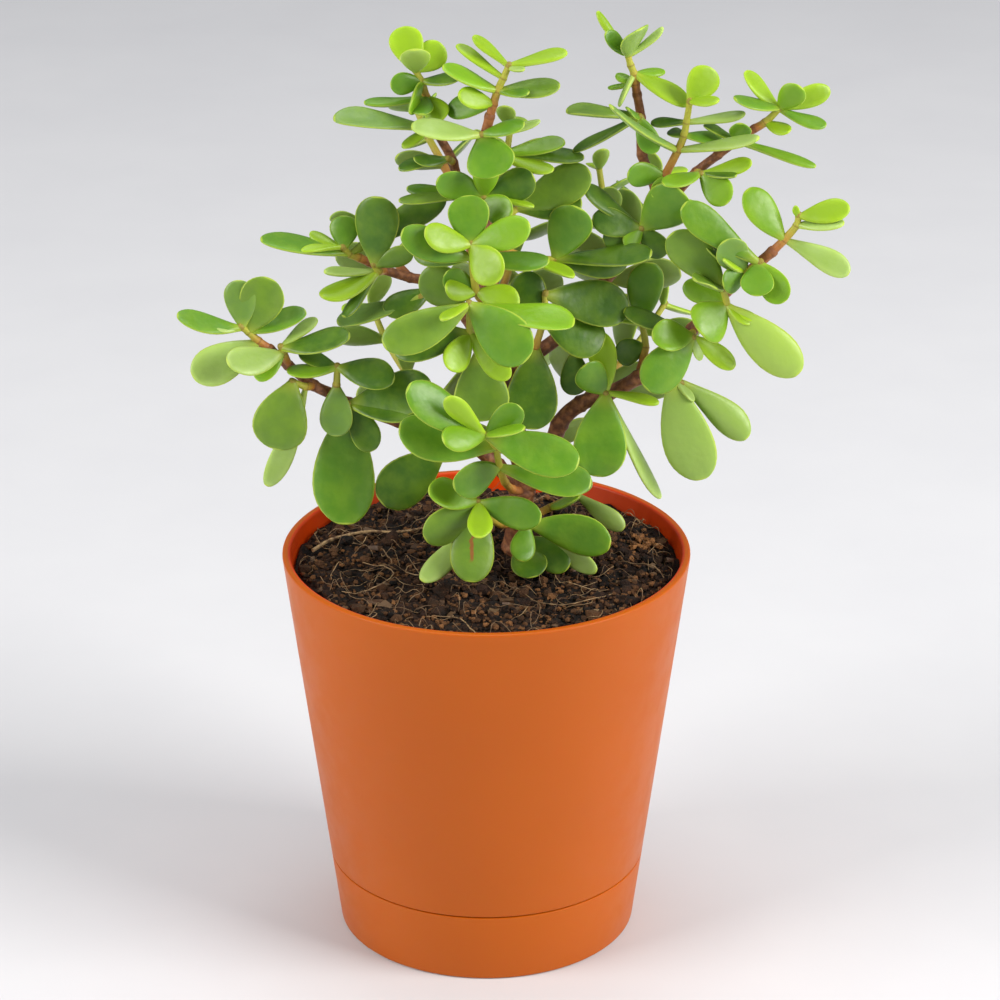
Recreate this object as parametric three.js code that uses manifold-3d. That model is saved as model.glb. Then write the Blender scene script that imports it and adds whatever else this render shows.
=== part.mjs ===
// A jade plant (small-leaved, succulent) in a tapered plastic pot with a clip-on drip tray.
// Millimetres, +Z up. The origin is the centre of the tray's underside, and the viewer stands at -Y.

import * as THREE from 'three';
import { mergeVertices } from 'three/addons/utils/BufferGeometryUtils.js';
import Module from 'manifold-3d';

const wasm = await Module();
wasm.setup();

// ---- driving dimensions of the pot ----
const POT_HEIGHT = 109.4; // floor to rim
const RIM_RADIUS = 55; // outside, at the rim
const BASE_RADIUS = 40.6; // outside, at the underside of the tray
const WALL = 2.2; // pot and tray wall
const FLOOR = 2.2; // pot and tray floor
const RIM_ROUNDING = 0.8; // rounding of the rim's two edges
const TRAY_HEIGHT = 20; // height of the seam between tray and pot
const RESERVOIR = 7; // height of the water space under the pot's floor
const SEAM_GAP = 0.3; // gap between pieces that touch
const NEST_CLEARANCE = 0.5; // pot's foot inside the tray
const DRAIN_HOLES = 6;
const DRAIN_RADIUS = 3;
const DRAIN_CIRCLE = 22; // radius of the ring of drain holes
const SOIL_DROP = 3.9; // rim down to the soil
const ROUND_SIDES = 40; // facets round the pot

// ---- driving dimensions of the plant ----
const GROWTH = 1; // overall size of the plant: 1 is the size listed below
const TRUNK_WIDTH = 8; // across the trunk at the soil
const LEAF_THICKNESS = 2; // at the middle of a leaf
const LEAF_ARCH = 0.05; // rise of a leaf's middle, as a share of its length
const LEAF_ROOT = 0.8; // how deep a leaf is rooted in its stem
const BUD = 1.4; // how far a shoot's stem carries on past its last pair of leaves
const WOOD_FACETS = { sides: 6, perSpan: 1 }; // facets round a woody stem, and rings between two points
const SHOOT_FACETS = { sides: 4, perSpan: 1 };

const SOIL_LEVEL = POT_HEIGHT - SOIL_DROP;
const TRUNK_TAPER = 0.82; // width at the fork, as a share of the width at the soil

// The woody stems. Points are x, y and height above the soil; 'from' names the stem that a stem grows
// out of and which of that stem's points it leaves, and that point comes first on the new stem.
const BRANCHES = {
  trunk: {
    points: [[8, 5, -9], [8, 5, 2], [9, 4, 10], [9.5, 3.5, 19], [10, 3, 28]],
    widths: [TRUNK_WIDTH, TRUNK_WIDTH * TRUNK_TAPER],
  },
  centre_branch: {
    from: ['trunk', 4],
    points: [[7, 3, 40], [4, 3, 52], [2, 2, 72], [0, 1, 91], [-1, 0, 104], [-0.5, 0, 117], [1, -1, 125]],
    widths: [6, 2.6],
  },
  left_low_branch: {
    from: ['trunk', 3],
    points: [
      [3, 2, 27], [-3, 1, 33], [-10, -1, 38], [-23, -3, 42], [-36, -6, 48], [-40, -7, 51], [-45, -8, 54],
      [-51.5, -9, 60], [-56, -10.5, 65],
    ],
    widths: [4.6, 2.6],
  },
  left_branch: {
    from: ['centre_branch', 2],
    points: [[-1, 6, 59], [-5, 7, 67], [-9, 8, 74], [-14, 8, 77], [-20, 7, 78.5], [-26.5, 6, 81], [-30.5, 5, 83.5]],
    widths: [3.6, 2.4],
  },
  top_left_branch: {
    from: ['centre_branch', 3],
    points: [[-3.5, 5, 86], [-6, 5, 99], [-8.5, 4.5, 111], [-12, 5, 118], [-14, 5, 124]],
    widths: [3.2, 2.2],
  },
  right_branch: {
    from: ['trunk', 3],
    points: [
      [16, 2, 27], [19.5, 2, 39], [25, 1.5, 45], [32, 1, 48], [40, 0, 53], [47, 0, 59.5], [54, -1, 67],
      [60, -2, 75], [67.5, -3, 83], [74, -4, 89.5],
    ],
    widths: [5.2, 2.8],
  },
  top_right_branch: {
    from: ['centre_branch', 2],
    points: [
      [12, 5, 57], [20, 6, 63], [27, 7, 71], [33, 7.5, 80], [41, 7, 92], [44, 7, 101], [43, 7.5, 106],
      [40.5, 8, 112], [40, 8, 122], [39, 8, 128],
    ],
    widths: [4.2, 2.4],
  },
  far_right_branch: {
    from: ['top_right_branch', 5],
    points: [[46, 8, 97], [50, 8, 102], [54.6, 7, 107.6], [60, 6, 112.5], [65.3, 5, 117], [69, 4.5, 120]],
    widths: [3, 2.2],
  },
};

// Ways that a leaf's upper face can look.
const FACES = {
  S: [0, -0.35, 1], // the sky
  T: [0, -1, 0.8], // tilted, to the front and up
  F: [0, -1, 0.1], // the front
  D: [0, 1, -0.1], // the back, so that the underside shows in front
  L: [-1, -0.3, 0.3],
  R: [1, -0.3, 0.3],
};

// The leafy shoots. Each leaf is a row: the shoot's point that it grows from, the reach of its tip from
// there along x, y and z, its width, and the way its upper face looks.
const SHOOTS = {
  left_low_tip: {
    from: ['left_low_branch', 9],
    points: [[-59, -11, 67.5], [-61.5, -12, 70.5], [-63, -13, 72]],
    leaves: [
      [3, -16.5, -3, 4.5, 8, 'S'], [3, -7, -3, 1, 3, 'S'], [3, -1, 3, 12, 9, 'F'], [2, 6, 2, 14, 12, 'F'],
      [2, 15, 3, 4.5, 7, 'S'], [1, -17, -5, -8, 11, 'T'],
    ],
  },
  left_low_upper: {
    from: ['left_low_branch', 8],
    points: [[-52.5, -11.5, 64.5], [-53, -12, 66]],
    leaves: [[1, -14, -10, 1, 9, 'T'], [2, 9, 6, 6, 5, 'S'], [2, 18, -2, 4, 10, 'S'], [1, -7, -4, -6, 6, 'T']],
  },
  left_low_twig: {
    from: ['left_low_branch', 6],
    points: [[-39, -10, 55], [-38.7, -10.5, 60]],
    leaves: [[2, -13, -3, 0, 7, 'S'], [2, -10, 3, 3, 6, 'S'], [1, 0, -4, -13, 9, 'F'], [2, 15, -4, -2, 9, 'T']],
  },
  left_low_hanging: {
    from: ['left_low_branch', 7],
    points: [[-47, -11.5, 55], [-50, -13, 57]],
    leaves: [[2, -5, -5, -17, 15, 'F'], [1, -10.5, -3, -27, 6.5, 'F']],
  },
  left_low_drooping: {
    from: ['left_low_branch', 5],
    points: [[-36, -10, 49.5]],
    leaves: [
      [1, -1, -8, -31, 17, 'F'], [1, 6.5, -3, -12, 8, 'F'], [1, -6, 3, -9, 4, 'S'], [1, 22, -2, 6, 13, 'T'],
      [1, 19, -5, 0, 11, 'S'],
    ],
  },
  left_low_inner: {
    from: ['left_low_branch', 3],
    points: [[-11, -7, 35]],
    leaves: [[1, -17, -6, -12, 14, 'F']],
  },
  left_tip: {
    from: ['left_branch', 7],
    points: [[-33, 4.5, 84.8], [-35.6, 4, 86], [-37, 3, 88]],
    leaves: [
      [2, -23, -4, 5.5, 10, 'S'], [3, -11, -5, 1, 3, 'S'], [3, 0, 3, 8, 8, 'F'], [3, -9, 4, 3, 4, 'S'],
      [2, 25, 4, 14.5, 8, 'F'],
    ],
  },
  left_upper: {
    from: ['left_branch', 6],
    points: [[-28, 2, 82], [-29, 1, 84]],
    leaves: [
      [2, 10, -1, 4, 6, 'F'], [1, -14, -6, 2, 4, 'S'], [1, -15, -8, -4, 8, 'S'], [1, -9, -10, -9, 4, 'S'],
      [2, 1, 0, 19, 12, 'F'],
    ],
  },
  left_inner: {
    from: ['left_branch', 4],
    points: [[-14.5, 4, 76], [-17, 2, 75]],
    leaves: [[1, -12, -6, -4, 8, 'T'], [2, -22, -4, -6, 9, 'S']],
  },
  top_left_tip: {
    from: ['top_left_branch', 5],
    points: [[-15.3, 5, 128.5], [-16.4, 5, 132.5], [-18, 5, 135.5]],
    leaves: [
      [3, -4, 5, 10, 9, 'F'], [3, 0, -8, 8, 8, 'S'], [3, 7, 3, 6, 8, 'F'], [3, -4, -3, 4, 3, 'S'],
      [2, 11, -3, 3, 7, 'S'], [2, -8, -3, 0, 6, 'F'], [2, -3, -8, -6, 5, 'R'], [1, -16, -2, -1, 4, 'S'],
      [1, -1, -9, -2, 6, 'T'], [1, 4.5, -6.5, -4, 7, 'F'],
    ],
  },
  top_left_upper: {
    from: ['top_left_branch', 4],
    points: [[-14.5, 1.5, 121]],
    leaves: [[1, -24.5, -4, 4, 8, 'S'], [1, -7, -2, -4, 4, 'S']],
  },
  top_left_lower: {
    from: ['top_left_branch', 3],
    points: [[-9.5, 1, 113]],
    leaves: [[1, -13, -2, -2, 5, 'S'], [1, -9, -3, 1, 5, 'S']],
  },
  top_centre_tip: {
    from: ['centre_branch', 7],
    points: [[2, -1.2, 128.5], [3, -1.5, 132], [4.5, -2, 135.6], [5.8, -2, 138.6]],
    leaves: [
      [4, -9, 4, 7, 4, 'S'], [3, -12, 6, 7, 4, 'S'], [4, 15, -1, 4, 6, 'S'], [4, 4, -3, 0, 3, 'S'],
      [2, 16, -2, 2, 8, 'S'], [2, 8, -5, 1, 4, 'S'], [2, -14, -2, 7, 8, 'S'], [1, -9, -5, 4, 6, 'T'],
      [1, -12, 4, -3, 7, 'T'],
    ],
  },
  top_centre_upper: {
    from: ['centre_branch', 6],
    points: [[-1, -4, 121]],
    leaves: [
      [1, 11, -3, 4, 6, 'S'], [1, 15, 3, 3, 3, 'S'], [1, 4, -6, -9, 13, 'F'], [1, -18, -2, 3, 8, 'S'],
    ],
  },
  top_centre_right: {
    from: ['centre_branch', 6],
    points: [[3.5, 2, 114]],
    leaves: [[1, 17, 1, 3, 6, 'S'], [1, 22, 4, -2, 6, 'S'], [1, 14, -4, -3, 6, 'S']],
  },
  top_centre_lower: {
    from: ['centre_branch', 5],
    points: [[-0.5, -4, 104.5]],
    leaves: [
      [1, 1, -4, 10, 7, 'F'], [1, -12, -4, 6, 8, 'F'], [1, 13, -2, 6, 9, 'F'], [1, 7, -7, -3, 8, 'F'],
      [1, 13, -2, -2, 3, 'S'], [1, -20, 4, 1, 5, 'S'], [1, -22, 0, -1, 5, 'S'],
    ],
  },
  top_centre_rear: {
    from: ['centre_branch', 4],
    points: [[5, 2, 96.5], [8, 3, 98.8]],
    leaves: [[2, 19, 1, 10, 11, 'T'], [2, 17, -1, 2, 9, 'T']],
  },
  centre_right_upper: {
    from: ['centre_branch', 4],
    points: [[9, 0, 87], [18, 0, 86]],
    leaves: [[2, 6, -2, 15, 12, 'F'], [2, 25, -6, 3.8, 9, 'S'], [2, 19, 4, -2, 9, 'T'], [1, 14, -5, -4, 5, 'S']],
  },
  centre_upper: {
    from: ['centre_branch', 3],
    points: [[0, -6, 76], [-2.4, -11, 81], [-3.6, -13, 91], [-3.6, -14, 95]],
    leaves: [
      [4, -1, 4, 12, 11, 'F'], [4, 15, -2, 6, 9, 'T'], [4, -12, -4, 5, 8, 'T'], [3, -18, -3, 8, 9, 'T'],
      [4, 7, -8, -7, 10, 'F'], [3, 20, -2, 0, 9, 'S'], [2, 11, -4, -2, 8, 'T'], [2, -8, -5, 3, 6, 'T'],
      [2, -8, -2, 6, 7, 'F'], [2, -15, 3, 2, 12, 'F'], [3, -15, 5, 0, 8, 'T'],
    ],
  },
  centre_front: {
    from: ['centre_branch', 2],
    points: [[1, -7, 58], [-2, -13, 65], [-4, -17, 72], [-4.2, -20, 81]],
    leaves: [
      [4, 15, -8, -12, 14, 'F'], [4, -22, -6, -9, 11, 'T'], [4, -7, -9, -1, 4, 'S'], [4, 27, -3, -4, 11, 'S'],
      [3, -20, -2, -4, 11, 'T'], [3, -5.5, -9, -6.5, 8, 'F'], [3, 10, -7, -10, 7, 'F'], [2, 1, -3, -18, 15, 'F'],
    ],
  },
  centre_right: {
    from: ['top_right_branch', 1],
    points: [[13, -0.5, 62], [15, -2, 70], [15.5, -2, 77]],
    leaves: [
      [3, 22, 2, -5, 13, 'T'], [2, 16, -1, -6, 13, 'T'], [1, -1, -4, -22, 14, 'F'], [2, -6, 3, 12, 10, 'F'],
    ],
  },
  centre_right_low: {
    from: ['top_right_branch', 2],
    points: [[23, 2, 60]],
    leaves: [[1, 0, -2, -12, 8, 'F']],
  },
  right_tip: {
    from: ['right_branch', 10],
    points: [[77, -4.6, 93], [80, -5, 97], [80.5, -5, 99.5]],
    leaves: [
      [3, 13, -2, 3, 7, 'T'], [2, 12, -4, 2, 6, 'S'], [3, -1, 0, 3, 2, 'F'], [1, -10, 2, 13, 9, 'T'],
      [1, 17, -3, -8, 7, 'T'],
    ],
  },
  right_upper: {
    from: ['right_branch', 9],
    points: [[67, -6.8, 84.5], [70.5, -8, 88]],
    leaves: [
      [2, -1, -6, -7, 9, 'F'], [2, 6.5, -5, -9, 8, 'F'], [2, -20, 2, 15, 9, 'T'], [2, -17, 4, 10, 6, 'S'],
      [1, -6, -3, 10, 9, 'F'], [1, -6, -6, 6, 3, 'S'], [1, -6, -5, -1, 7, 'F'], [1, -11, 4, 8, 5, 'S'],
    ],
  },
  right_hanging: {
    from: ['right_branch', 8],
    points: [[62.5, -5.5, 75.5], [61.5, -6.5, 80]],
    leaves: [
      [2, -14, 1, 15, 11, 'F'], [2, -8, -6, 5, 7, 'S'], [1, 19, -7, -16.5, 12, 'D'], [1, -7, -8, -5, 12, 'F'],
      [1, 8, -3, -3, 4, 'S'], [1, 6, -4, -4, 4, 'S'], [1, -11, 5, 4, 7, 'T'],
    ],
  },
  right_lower: {
    from: ['right_branch', 7],
    points: [[54, -5, 66.5]],
    leaves: [
      [1, -11, -5, 2, 9, 'T'], [1, 11, -2, -8, 6, 'T'], [1, 2, -2, -6, 3, 'S'], [1, -18, 4, 6, 7, 'S'],
      [1, -12.5, -8, -11.5, 12, 'F'],
    ],
  },
  right_lower_hanging: {
    from: ['right_branch', 6],
    points: [[48.5, -4, 55], [51, -4.5, 53.5]],
    leaves: [[1, 8.5, -5, -27.5, 14, 'D'], [2, 18, -2, -15, 9, 'D'], [1, 6, -3, -6, 3, 'S']],
  },
  right_foot: {
    from: ['right_branch', 4],
    points: [[31.5, -3.5, 50]],
    leaves: [
      [1, -2, 4, 16, 8, 'F'], [1, -6, -3, 9, 9, 'F'], [1, -2, -7, -21, 14.5, 'F'], [1, 15, 0, -30, 8, 'R'],
      [1, 14, -2, -2, 4, 'S'],
    ],
  },
  right_inner: {
    from: ['right_branch', 5],
    points: [[42, 4, 60], [41, 4.5, 66.5]],
    leaves: [[2, 2, 2, 16.5, 10, 'F'], [2, -12, -3, 5, 5, 'S'], [1, -8, -1, -1.5, 8, 'F']],
  },
  top_right_inner: {
    from: ['top_right_branch', 5],
    points: [[40.5, 3, 93.5]],
    leaves: [
      [1, 10, -5, 12, 13, 'F'], [1, -15, 2, 11, 7, 'S'], [1, -13, -1, 3, 8, 'T'], [1, -10, -2, -3, 8, 'F'],
      [1, -4, -4, -4, 5, 'F'], [1, 6, -2, -7, 7, 'F'],
    ],
  },
  top_right_second: {
    from: ['top_right_branch', 6],
    points: [[46.5, 6, 107], [49.6, 4, 114.5], [51, 2.5, 119], [51.5, 2, 122.6], [52.2, 1, 128.3]],
    leaves: [
      [5, 6, 3, 8, 9, 'F'], [5, 7, -6, 2, 5, 'S'], [4, 15, -2, 3, 4, 'S'], [3, 10, 2, -2, 5, 'S'],
      [3, -4, 3, 0, 4, 'S'], [2, 20, -12, 7, 6, 'S'], [4, -9, 3, -1, 4, 'S'], [2, -18, -12, 15.6, 8, 'S'],
      [1, -10, -5, 2, 7, 'F'], [1, -3, -5.5, -4.5, 5, 'F'],
    ],
  },
  top_right_tip: {
    from: ['top_right_branch', 10],
    points: [[38.5, 8, 131], [38.2, 8, 133.5], [37.2, 8, 136], [36.5, 8, 138.5]],
    leaves: [
      [4, -8, 3, 11, 3, 'S'], [4, -6, -3, 7, 5, 'T'], [4, 3, -6, 9, 10, 'S'], [4, 9, 2, 7, 3, 'S'],
      [1, -5, 2, 2, 4, 'S'], [2, -4, -5, -7, 4, 'L'], [2, 8, 3, 0, 4, 'S'], [2, 14, -4, -7, 7, 'S'],
      [1, -7, 3, -2, 2, 'S'],
    ],
  },
  top_right_middle: {
    from: ['top_right_branch', 9],
    points: [[39.5, 4, 123.5]],
    leaves: [[1, -3, -3, 3, 5, 'S'], [1, -19, -2, 2, 7, 'S'], [1, -17, 2, -10, 4, 'S'], [1, 4, -3, -9, 6, 'F']],
  },
  far_right_tip: {
    from: ['far_right_branch', 6],
    points: [[71.9, 4, 122], [75.4, 3, 126]],
    leaves: [
      [2, -9, 3, 9, 6, 'S'], [2, 5, -4, 7, 7, 'F'], [2, 13, 2, 4.5, 6, 'F'], [2, -12, -5, 4, 8, 'S'],
      [2, 12, -2, -4, 5, 'S'], [1, 6, -5, -1, 5, 'S'],
    ],
  },
  far_right_middle: {
    from: ['far_right_branch', 5],
    points: [[65, 1.5, 117.5]],
    leaves: [[1, -9, 2, 4, 4, 'S'], [1, 0, -3, 6, 6, 'F'], [1, 20, -2, -6, 4, 'S']],
  },
  far_right_lower: {
    from: ['far_right_branch', 3],
    points: [[55.5, 3, 108.5]],
    leaves: [[1, 13, -3, 4, 5, 'T'], [1, 9, -5, 1, 4, 'S'], [1, 7, -6, -6, 8, 'F'], [1, -10, -6, -1, 6, 'S']],
  },
  front_rosette: {
    from: ['trunk', 3],
    points: [[7, -7, 24], [5, -14, 29], [3.5, -20, 36], [2.5, -24, 43], [0, -28, 48]],
    leaves: [
      [5, -20, -4, 15, 11, 'T'], [5, -10, -6, 13, 6, 'F'], [5, 9, 0, 8, 8, 'F'], [5, 10, -5, 4, 6, 'S'],
      [4, -25, -1, 6, 13, 'T'], [5, -11, -8, 2, 8, 'T'], [5, 24, -3, -6.5, 12, 'T'], [3, 24, -2, -4, 10, 'T'],
      [3, -12, -8, -2, 10, 'F'],
    ],
  },
  front_low: {
    from: ['trunk', 2],
    points: [[4, -5, 13], [0, -12, 19], [-2, -18, 25]],
    leaves: [
      [3, -13, -6, 6, 9, 'T'], [3, -14, -6, -8, 10, 'F'], [2, -17, -12, -14, 7, 'T'], [3, -2, -9, -19, 12, 'F'],
      [3, 0, -12, -5, 7, 'F'], [3, 16.5, -6, -2, 9, 'F'],
    ],
  },
  front_low_right: {
    from: ['trunk', 1],
    points: [[9.5, -3, 8], [11, -10, 15]],
    leaves: [
      [2, -2, -8, -7, 7, 'F'], [1, 3, -10, -7, 10, 'T'], [1, 12.5, -6, -6, 9, 'T'], [2, 22, -4, -4, 11, 'F'],
      [1, 20, -8, -6, 6, 'F'],
    ],
  },
  low_right: {
    from: ['trunk', 2],
    points: [[17, 6, 13], [24, 6, 17]],
    leaves: [[2, 13, -3, -9, 6, 'F'], [2, 4, 2, 4, 4, 'F'], [1, 8, -6, 6, 5, 'S']],
  },
};

// The shoots at the back grow by rule: a pair of leaves at each point, each pair a quarter turn on from
// the last. Leaf length and width are at the foot of the shoot, and TIP_SHARE is what is left at its tip.
const TIP_SHARE = 0.6;
const PAIR_RISE = 0.45; // how far a paired leaf leans towards the shoot's tip
const PAIRED_SHOOTS = {
  back_top: {
    from: ['centre_branch', 4],
    points: [[1.5, 10, 97], [4, 16, 103], [5.5, 20, 109], [6.5, 23, 115]],
    leaf: [15, 9],
  },
  back_top_left: {
    from: ['top_left_branch', 2],
    points: [[-11, 11, 108], [-15, 16, 114], [-18, 20, 120]],
    leaf: [14, 8],
  },
  back_middle: {
    from: ['centre_branch', 3],
    points: [[4, 12, 73], [6, 21, 76], [7, 28, 82], [7, 33, 90]],
    leaf: [17, 10.5],
  },
  back_left: {
    from: ['left_branch', 5],
    points: [[-25, 15, 81], [-30, 21, 83], [-33, 26, 87]],
    leaf: [15, 9],
  },
  back_left_low: {
    from: ['left_low_branch', 3],
    points: [[-14, 8, 42], [-21, 17, 47], [-27, 25, 54], [-31, 30, 62]],
    leaf: [21, 12],
  },
  back_low: {
    from: ['trunk', 3],
    points: [[10, 13, 26], [8, 23, 32], [6, 31, 40], [5, 37, 49]],
    leaf: [22, 13],
  },
  back_right_low: {
    from: ['right_branch', 3],
    points: [[30, 11, 47], [37, 19, 51], [43, 26, 56], [48, 31, 62]],
    leaf: [21, 12],
  },
  back_right: {
    from: ['top_right_branch', 3],
    points: [[32, 15, 75], [38, 23, 81], [43, 29, 89], [46, 33, 98]],
    leaf: [20, 11],
  },
  back_top_right: {
    from: ['top_right_branch', 4],
    points: [[33, 15, 84], [32, 21, 89], [31, 26, 95], [30, 30, 101]],
    leaf: [13, 8],
  },
};
const SHOOT_WIDTHS = [2.4, 1.6]; // across a leafy shoot at its foot and at its tip

const plastic = { color: 0xd2692c, roughness: 0.45, metalness: 0 };
const looks = {
  pot_shell: plastic,
  drip_tray: plastic,
  potting_soil: { color: 0x3a2a1e, roughness: 1, metalness: 0 },
  wood: { color: 0x7a4a30, roughness: 0.75, metalness: 0 },
  leaf: { color: 0x6f9a2e, roughness: 0.4, metalness: 0 },
};

// ---- solids ----

/** Turns a closed geometry into a solid that can be joined and cut. */
function solidOf(geometry) {
  const bare = geometry.clone();
  bare.deleteAttribute('normal');
  bare.deleteAttribute('uv');
  const merged = mergeVertices(bare);
  return new wasm.Manifold(new wasm.Mesh({
    numProp: 3,
    vertProperties: merged.attributes.position.array,
    triVerts: new Uint32Array(merged.index.array),
  }));
}

/** Turns a solid back into a named mesh with its own material. */
function meshOf(name, solid, look) {
  const { vertProperties, triVerts } = solid.getMesh();
  const geometry = new THREE.BufferGeometry();
  geometry.setAttribute('position', new THREE.BufferAttribute(vertProperties, 3));
  geometry.setIndex(new THREE.BufferAttribute(triVerts, 1));
  geometry.computeVertexNormals();
  const mesh = new THREE.Mesh(geometry, new THREE.MeshStandardMaterial(look));
  mesh.name = name;
  return mesh;
}

/** Turns a profile of radius and height pairs once round the upright axis. */
function turned(profile) {
  const points = profile.map(([radius, height]) => new THREE.Vector2(radius, height));
  return solidOf(new THREE.LatheGeometry(points, ROUND_SIDES).rotateX(Math.PI / 2));
}

// ---- the pot ----

/** Outside radius of the pot and tray, one straight taper from base to rim. */
function outsideRadius(height) {
  return BASE_RADIUS + (RIM_RADIUS - BASE_RADIUS) * (height / POT_HEIGHT);
}

const TRAY_RIM_RADIUS = outsideRadius(TRAY_HEIGHT);
const FOOT_BOTTOM = FLOOR + RESERVOIR;
const FOOT_RADIUS = outsideRadius(FOOT_BOTTOM) - WALL - NEST_CLEARANCE;
const SHOULDER = TRAY_HEIGHT + SEAM_GAP; // where the pot steps out over the tray's rim
const SOIL_BOTTOM = FOOT_BOTTOM + FLOOR + SEAM_GAP;

/** The tray: a tapered cup whose wall carries on the line of the pot. */
function trayProfile() {
  return [
    [0, 0],
    [BASE_RADIUS, 0],
    [TRAY_RIM_RADIUS, TRAY_HEIGHT],
    [TRAY_RIM_RADIUS - WALL, TRAY_HEIGHT],
    [outsideRadius(FLOOR) - WALL, FLOOR],
    [0, FLOOR],
  ];
}

/** The pot: a foot that nests in the tray, a shoulder over its rim, and a tapered wall. */
function potProfile() {
  const rimInside = RIM_RADIUS - WALL;
  return [
    [0, FOOT_BOTTOM],
    [FOOT_RADIUS, FOOT_BOTTOM],
    [FOOT_RADIUS, SHOULDER],
    [outsideRadius(SHOULDER), SHOULDER],
    [outsideRadius(POT_HEIGHT - RIM_ROUNDING), POT_HEIGHT - RIM_ROUNDING],
    [RIM_RADIUS - RIM_ROUNDING, POT_HEIGHT],
    [rimInside + RIM_ROUNDING, POT_HEIGHT],
    [rimInside, POT_HEIGHT - RIM_ROUNDING],
    [outsideRadius(SHOULDER + FLOOR) - WALL, SHOULDER + FLOOR],
    [FOOT_RADIUS - WALL, SHOULDER],
    [FOOT_RADIUS - WALL, FOOT_BOTTOM + FLOOR],
    [0, FOOT_BOTTOM + FLOOR],
  ];
}

/** The soil fills the pot to a gap from its wall and floor. */
function soilProfile() {
  const inside = (height) => outsideRadius(height) - WALL - SEAM_GAP;
  const footInside = FOOT_RADIUS - WALL - SEAM_GAP;
  return [
    [0, SOIL_BOTTOM],
    [footInside, SOIL_BOTTOM],
    [footInside, SHOULDER + SEAM_GAP],
    [inside(SHOULDER + FLOOR + SEAM_GAP), SHOULDER + FLOOR + SEAM_GAP],
    [inside(SOIL_LEVEL), SOIL_LEVEL],
    [0, SOIL_LEVEL],
  ];
}

/** An upright plug that cuts drain hole number i through the pot's floor. */
function drainPlug(i) {
  const angle = (2 * Math.PI * i) / DRAIN_HOLES;
  const plug = new THREE.CylinderGeometry(DRAIN_RADIUS, DRAIN_RADIUS, 3 * FLOOR, 12).rotateX(Math.PI / 2);
  plug.translate(DRAIN_CIRCLE * Math.cos(angle), DRAIN_CIRCLE * Math.sin(angle), FOOT_BOTTOM + FLOOR / 2);
  return solidOf(plug);
}

// ---- the plant ----

/** A listed point of the plant at its place over the soil. */
function placed([x, y, height]) {
  return new THREE.Vector3(x, y, height).multiplyScalar(GROWTH).add(new THREE.Vector3(0, 0, SOIL_LEVEL));
}

/** All the points of a stem, with the point that it grows out of first. */
function routeOf({ from, points }) {
  if (!from) return points.map(placed);
  const [parent, index] = from;
  return [routeOf(BRANCHES[parent])[index], ...points.map(placed)];
}

/** A closed, tapering stem along a smooth curve; spare makes it that much larger all round. */
function stemSolid(points, [startWidth, endWidth], { sides, perSpan }, spare = 0) {
  const path = new THREE.CatmullRomCurve3(points);
  const steps = (points.length - 1) * perSpan;
  const { tangents, normals, binormals } = path.computeFrenetFrames(steps);
  const stem = new THREE.CylinderGeometry(1, 1, 1, sides, steps);
  const position = stem.attributes.position;
  for (let i = 0; i < position.count; i++) {
    const ring = Math.round((position.getY(i) + 0.5) * steps);
    const radius = (THREE.MathUtils.lerp(startWidth, endWidth, ring / steps) * GROWTH) / 2 + spare;
    const point = path.getPointAt(ring / steps);
    if (ring === 0) point.addScaledVector(tangents[ring], -spare);
    if (ring === steps) point.addScaledVector(tangents[ring], spare);
    point.addScaledVector(binormals[ring], position.getX(i) * radius);
    point.addScaledVector(normals[ring], position.getZ(i) * radius);
    position.setXYZ(i, point.x, point.y, point.z);
  }
  return solidOf(stem);
}

/** Half the width of a leaf at a share of its length, as a share of its greatest half width. */
function leafOutline(share) {
  return Math.sin(Math.PI * share ** 1.6) ** 0.6;
}

/** One fleshy leaf, narrow at its base and widest past its middle. */
function leafSolid(base, reach, width, facing) {
  const along = reach.clone().normalize();
  const across = along.clone().cross(facing).normalize();
  const up = across.clone().cross(along);
  const length = reach.length() + LEAF_ROOT * GROWTH;
  const root = base.clone().addScaledVector(along, -LEAF_ROOT * GROWTH);
  const leaf = new THREE.SphereGeometry(1, 4, 3);
  const position = leaf.attributes.position;
  for (let i = 0; i < position.count; i++) {
    const share = ((1 + position.getY(i)) / 2) ** 0.58;
    const girth = Math.hypot(position.getX(i), position.getZ(i)) || 1;
    const fullness = share > 0.001 && share < 0.999 ? leafOutline(share) : 0;
    const side = (position.getX(i) / girth) * fullness * (width / 2);
    const rise = (position.getZ(i) / girth) * fullness * (LEAF_THICKNESS / 2) * GROWTH;
    const arch = LEAF_ARCH * length * 4 * share * (1 - share);
    const point = root.clone().addScaledVector(along, share * length);
    point.addScaledVector(across, side).addScaledVector(up, rise + arch);
    position.setXYZ(i, point.x, point.y, point.z);
  }
  return solidOf(leaf);
}

/** The leaves of a shoot that lists them. */
function listedLeaves(shoot) {
  const route = routeOf(shoot);
  return shoot.leaves.map(([at, x, y, z, width, face]) => ({
    base: route[at],
    reach: new THREE.Vector3(x, y, z).multiplyScalar(GROWTH),
    width: width * GROWTH,
    facing: new THREE.Vector3(...FACES[face]),
  }));
}

/** The leaves of a shoot that grows by rule. */
function pairedLeaves(shoot) {
  const route = routeOf(shoot);
  const [length, width] = shoot.leaf;
  const leaves = [];
  for (let at = 1; at < route.length; at++) {
    const size = (1 - ((1 - TIP_SHARE) * (at - 1)) / (route.length - 2)) * GROWTH;
    const ahead = route[at].clone().sub(route[at - 1]).normalize();
    const level = new THREE.Vector3(0, 0, 1).cross(ahead).normalize();
    const outward = at % 2 ? level : ahead.clone().cross(level);
    for (const hand of [1, -1]) {
      const reach = outward.clone().multiplyScalar(hand).addScaledVector(ahead, PAIR_RISE);
      leaves.push({
        base: route[at],
        reach: reach.setLength(length * size),
        width: width * size,
        facing: ahead,
      });
    }
  }
  return leaves;
}

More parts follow.
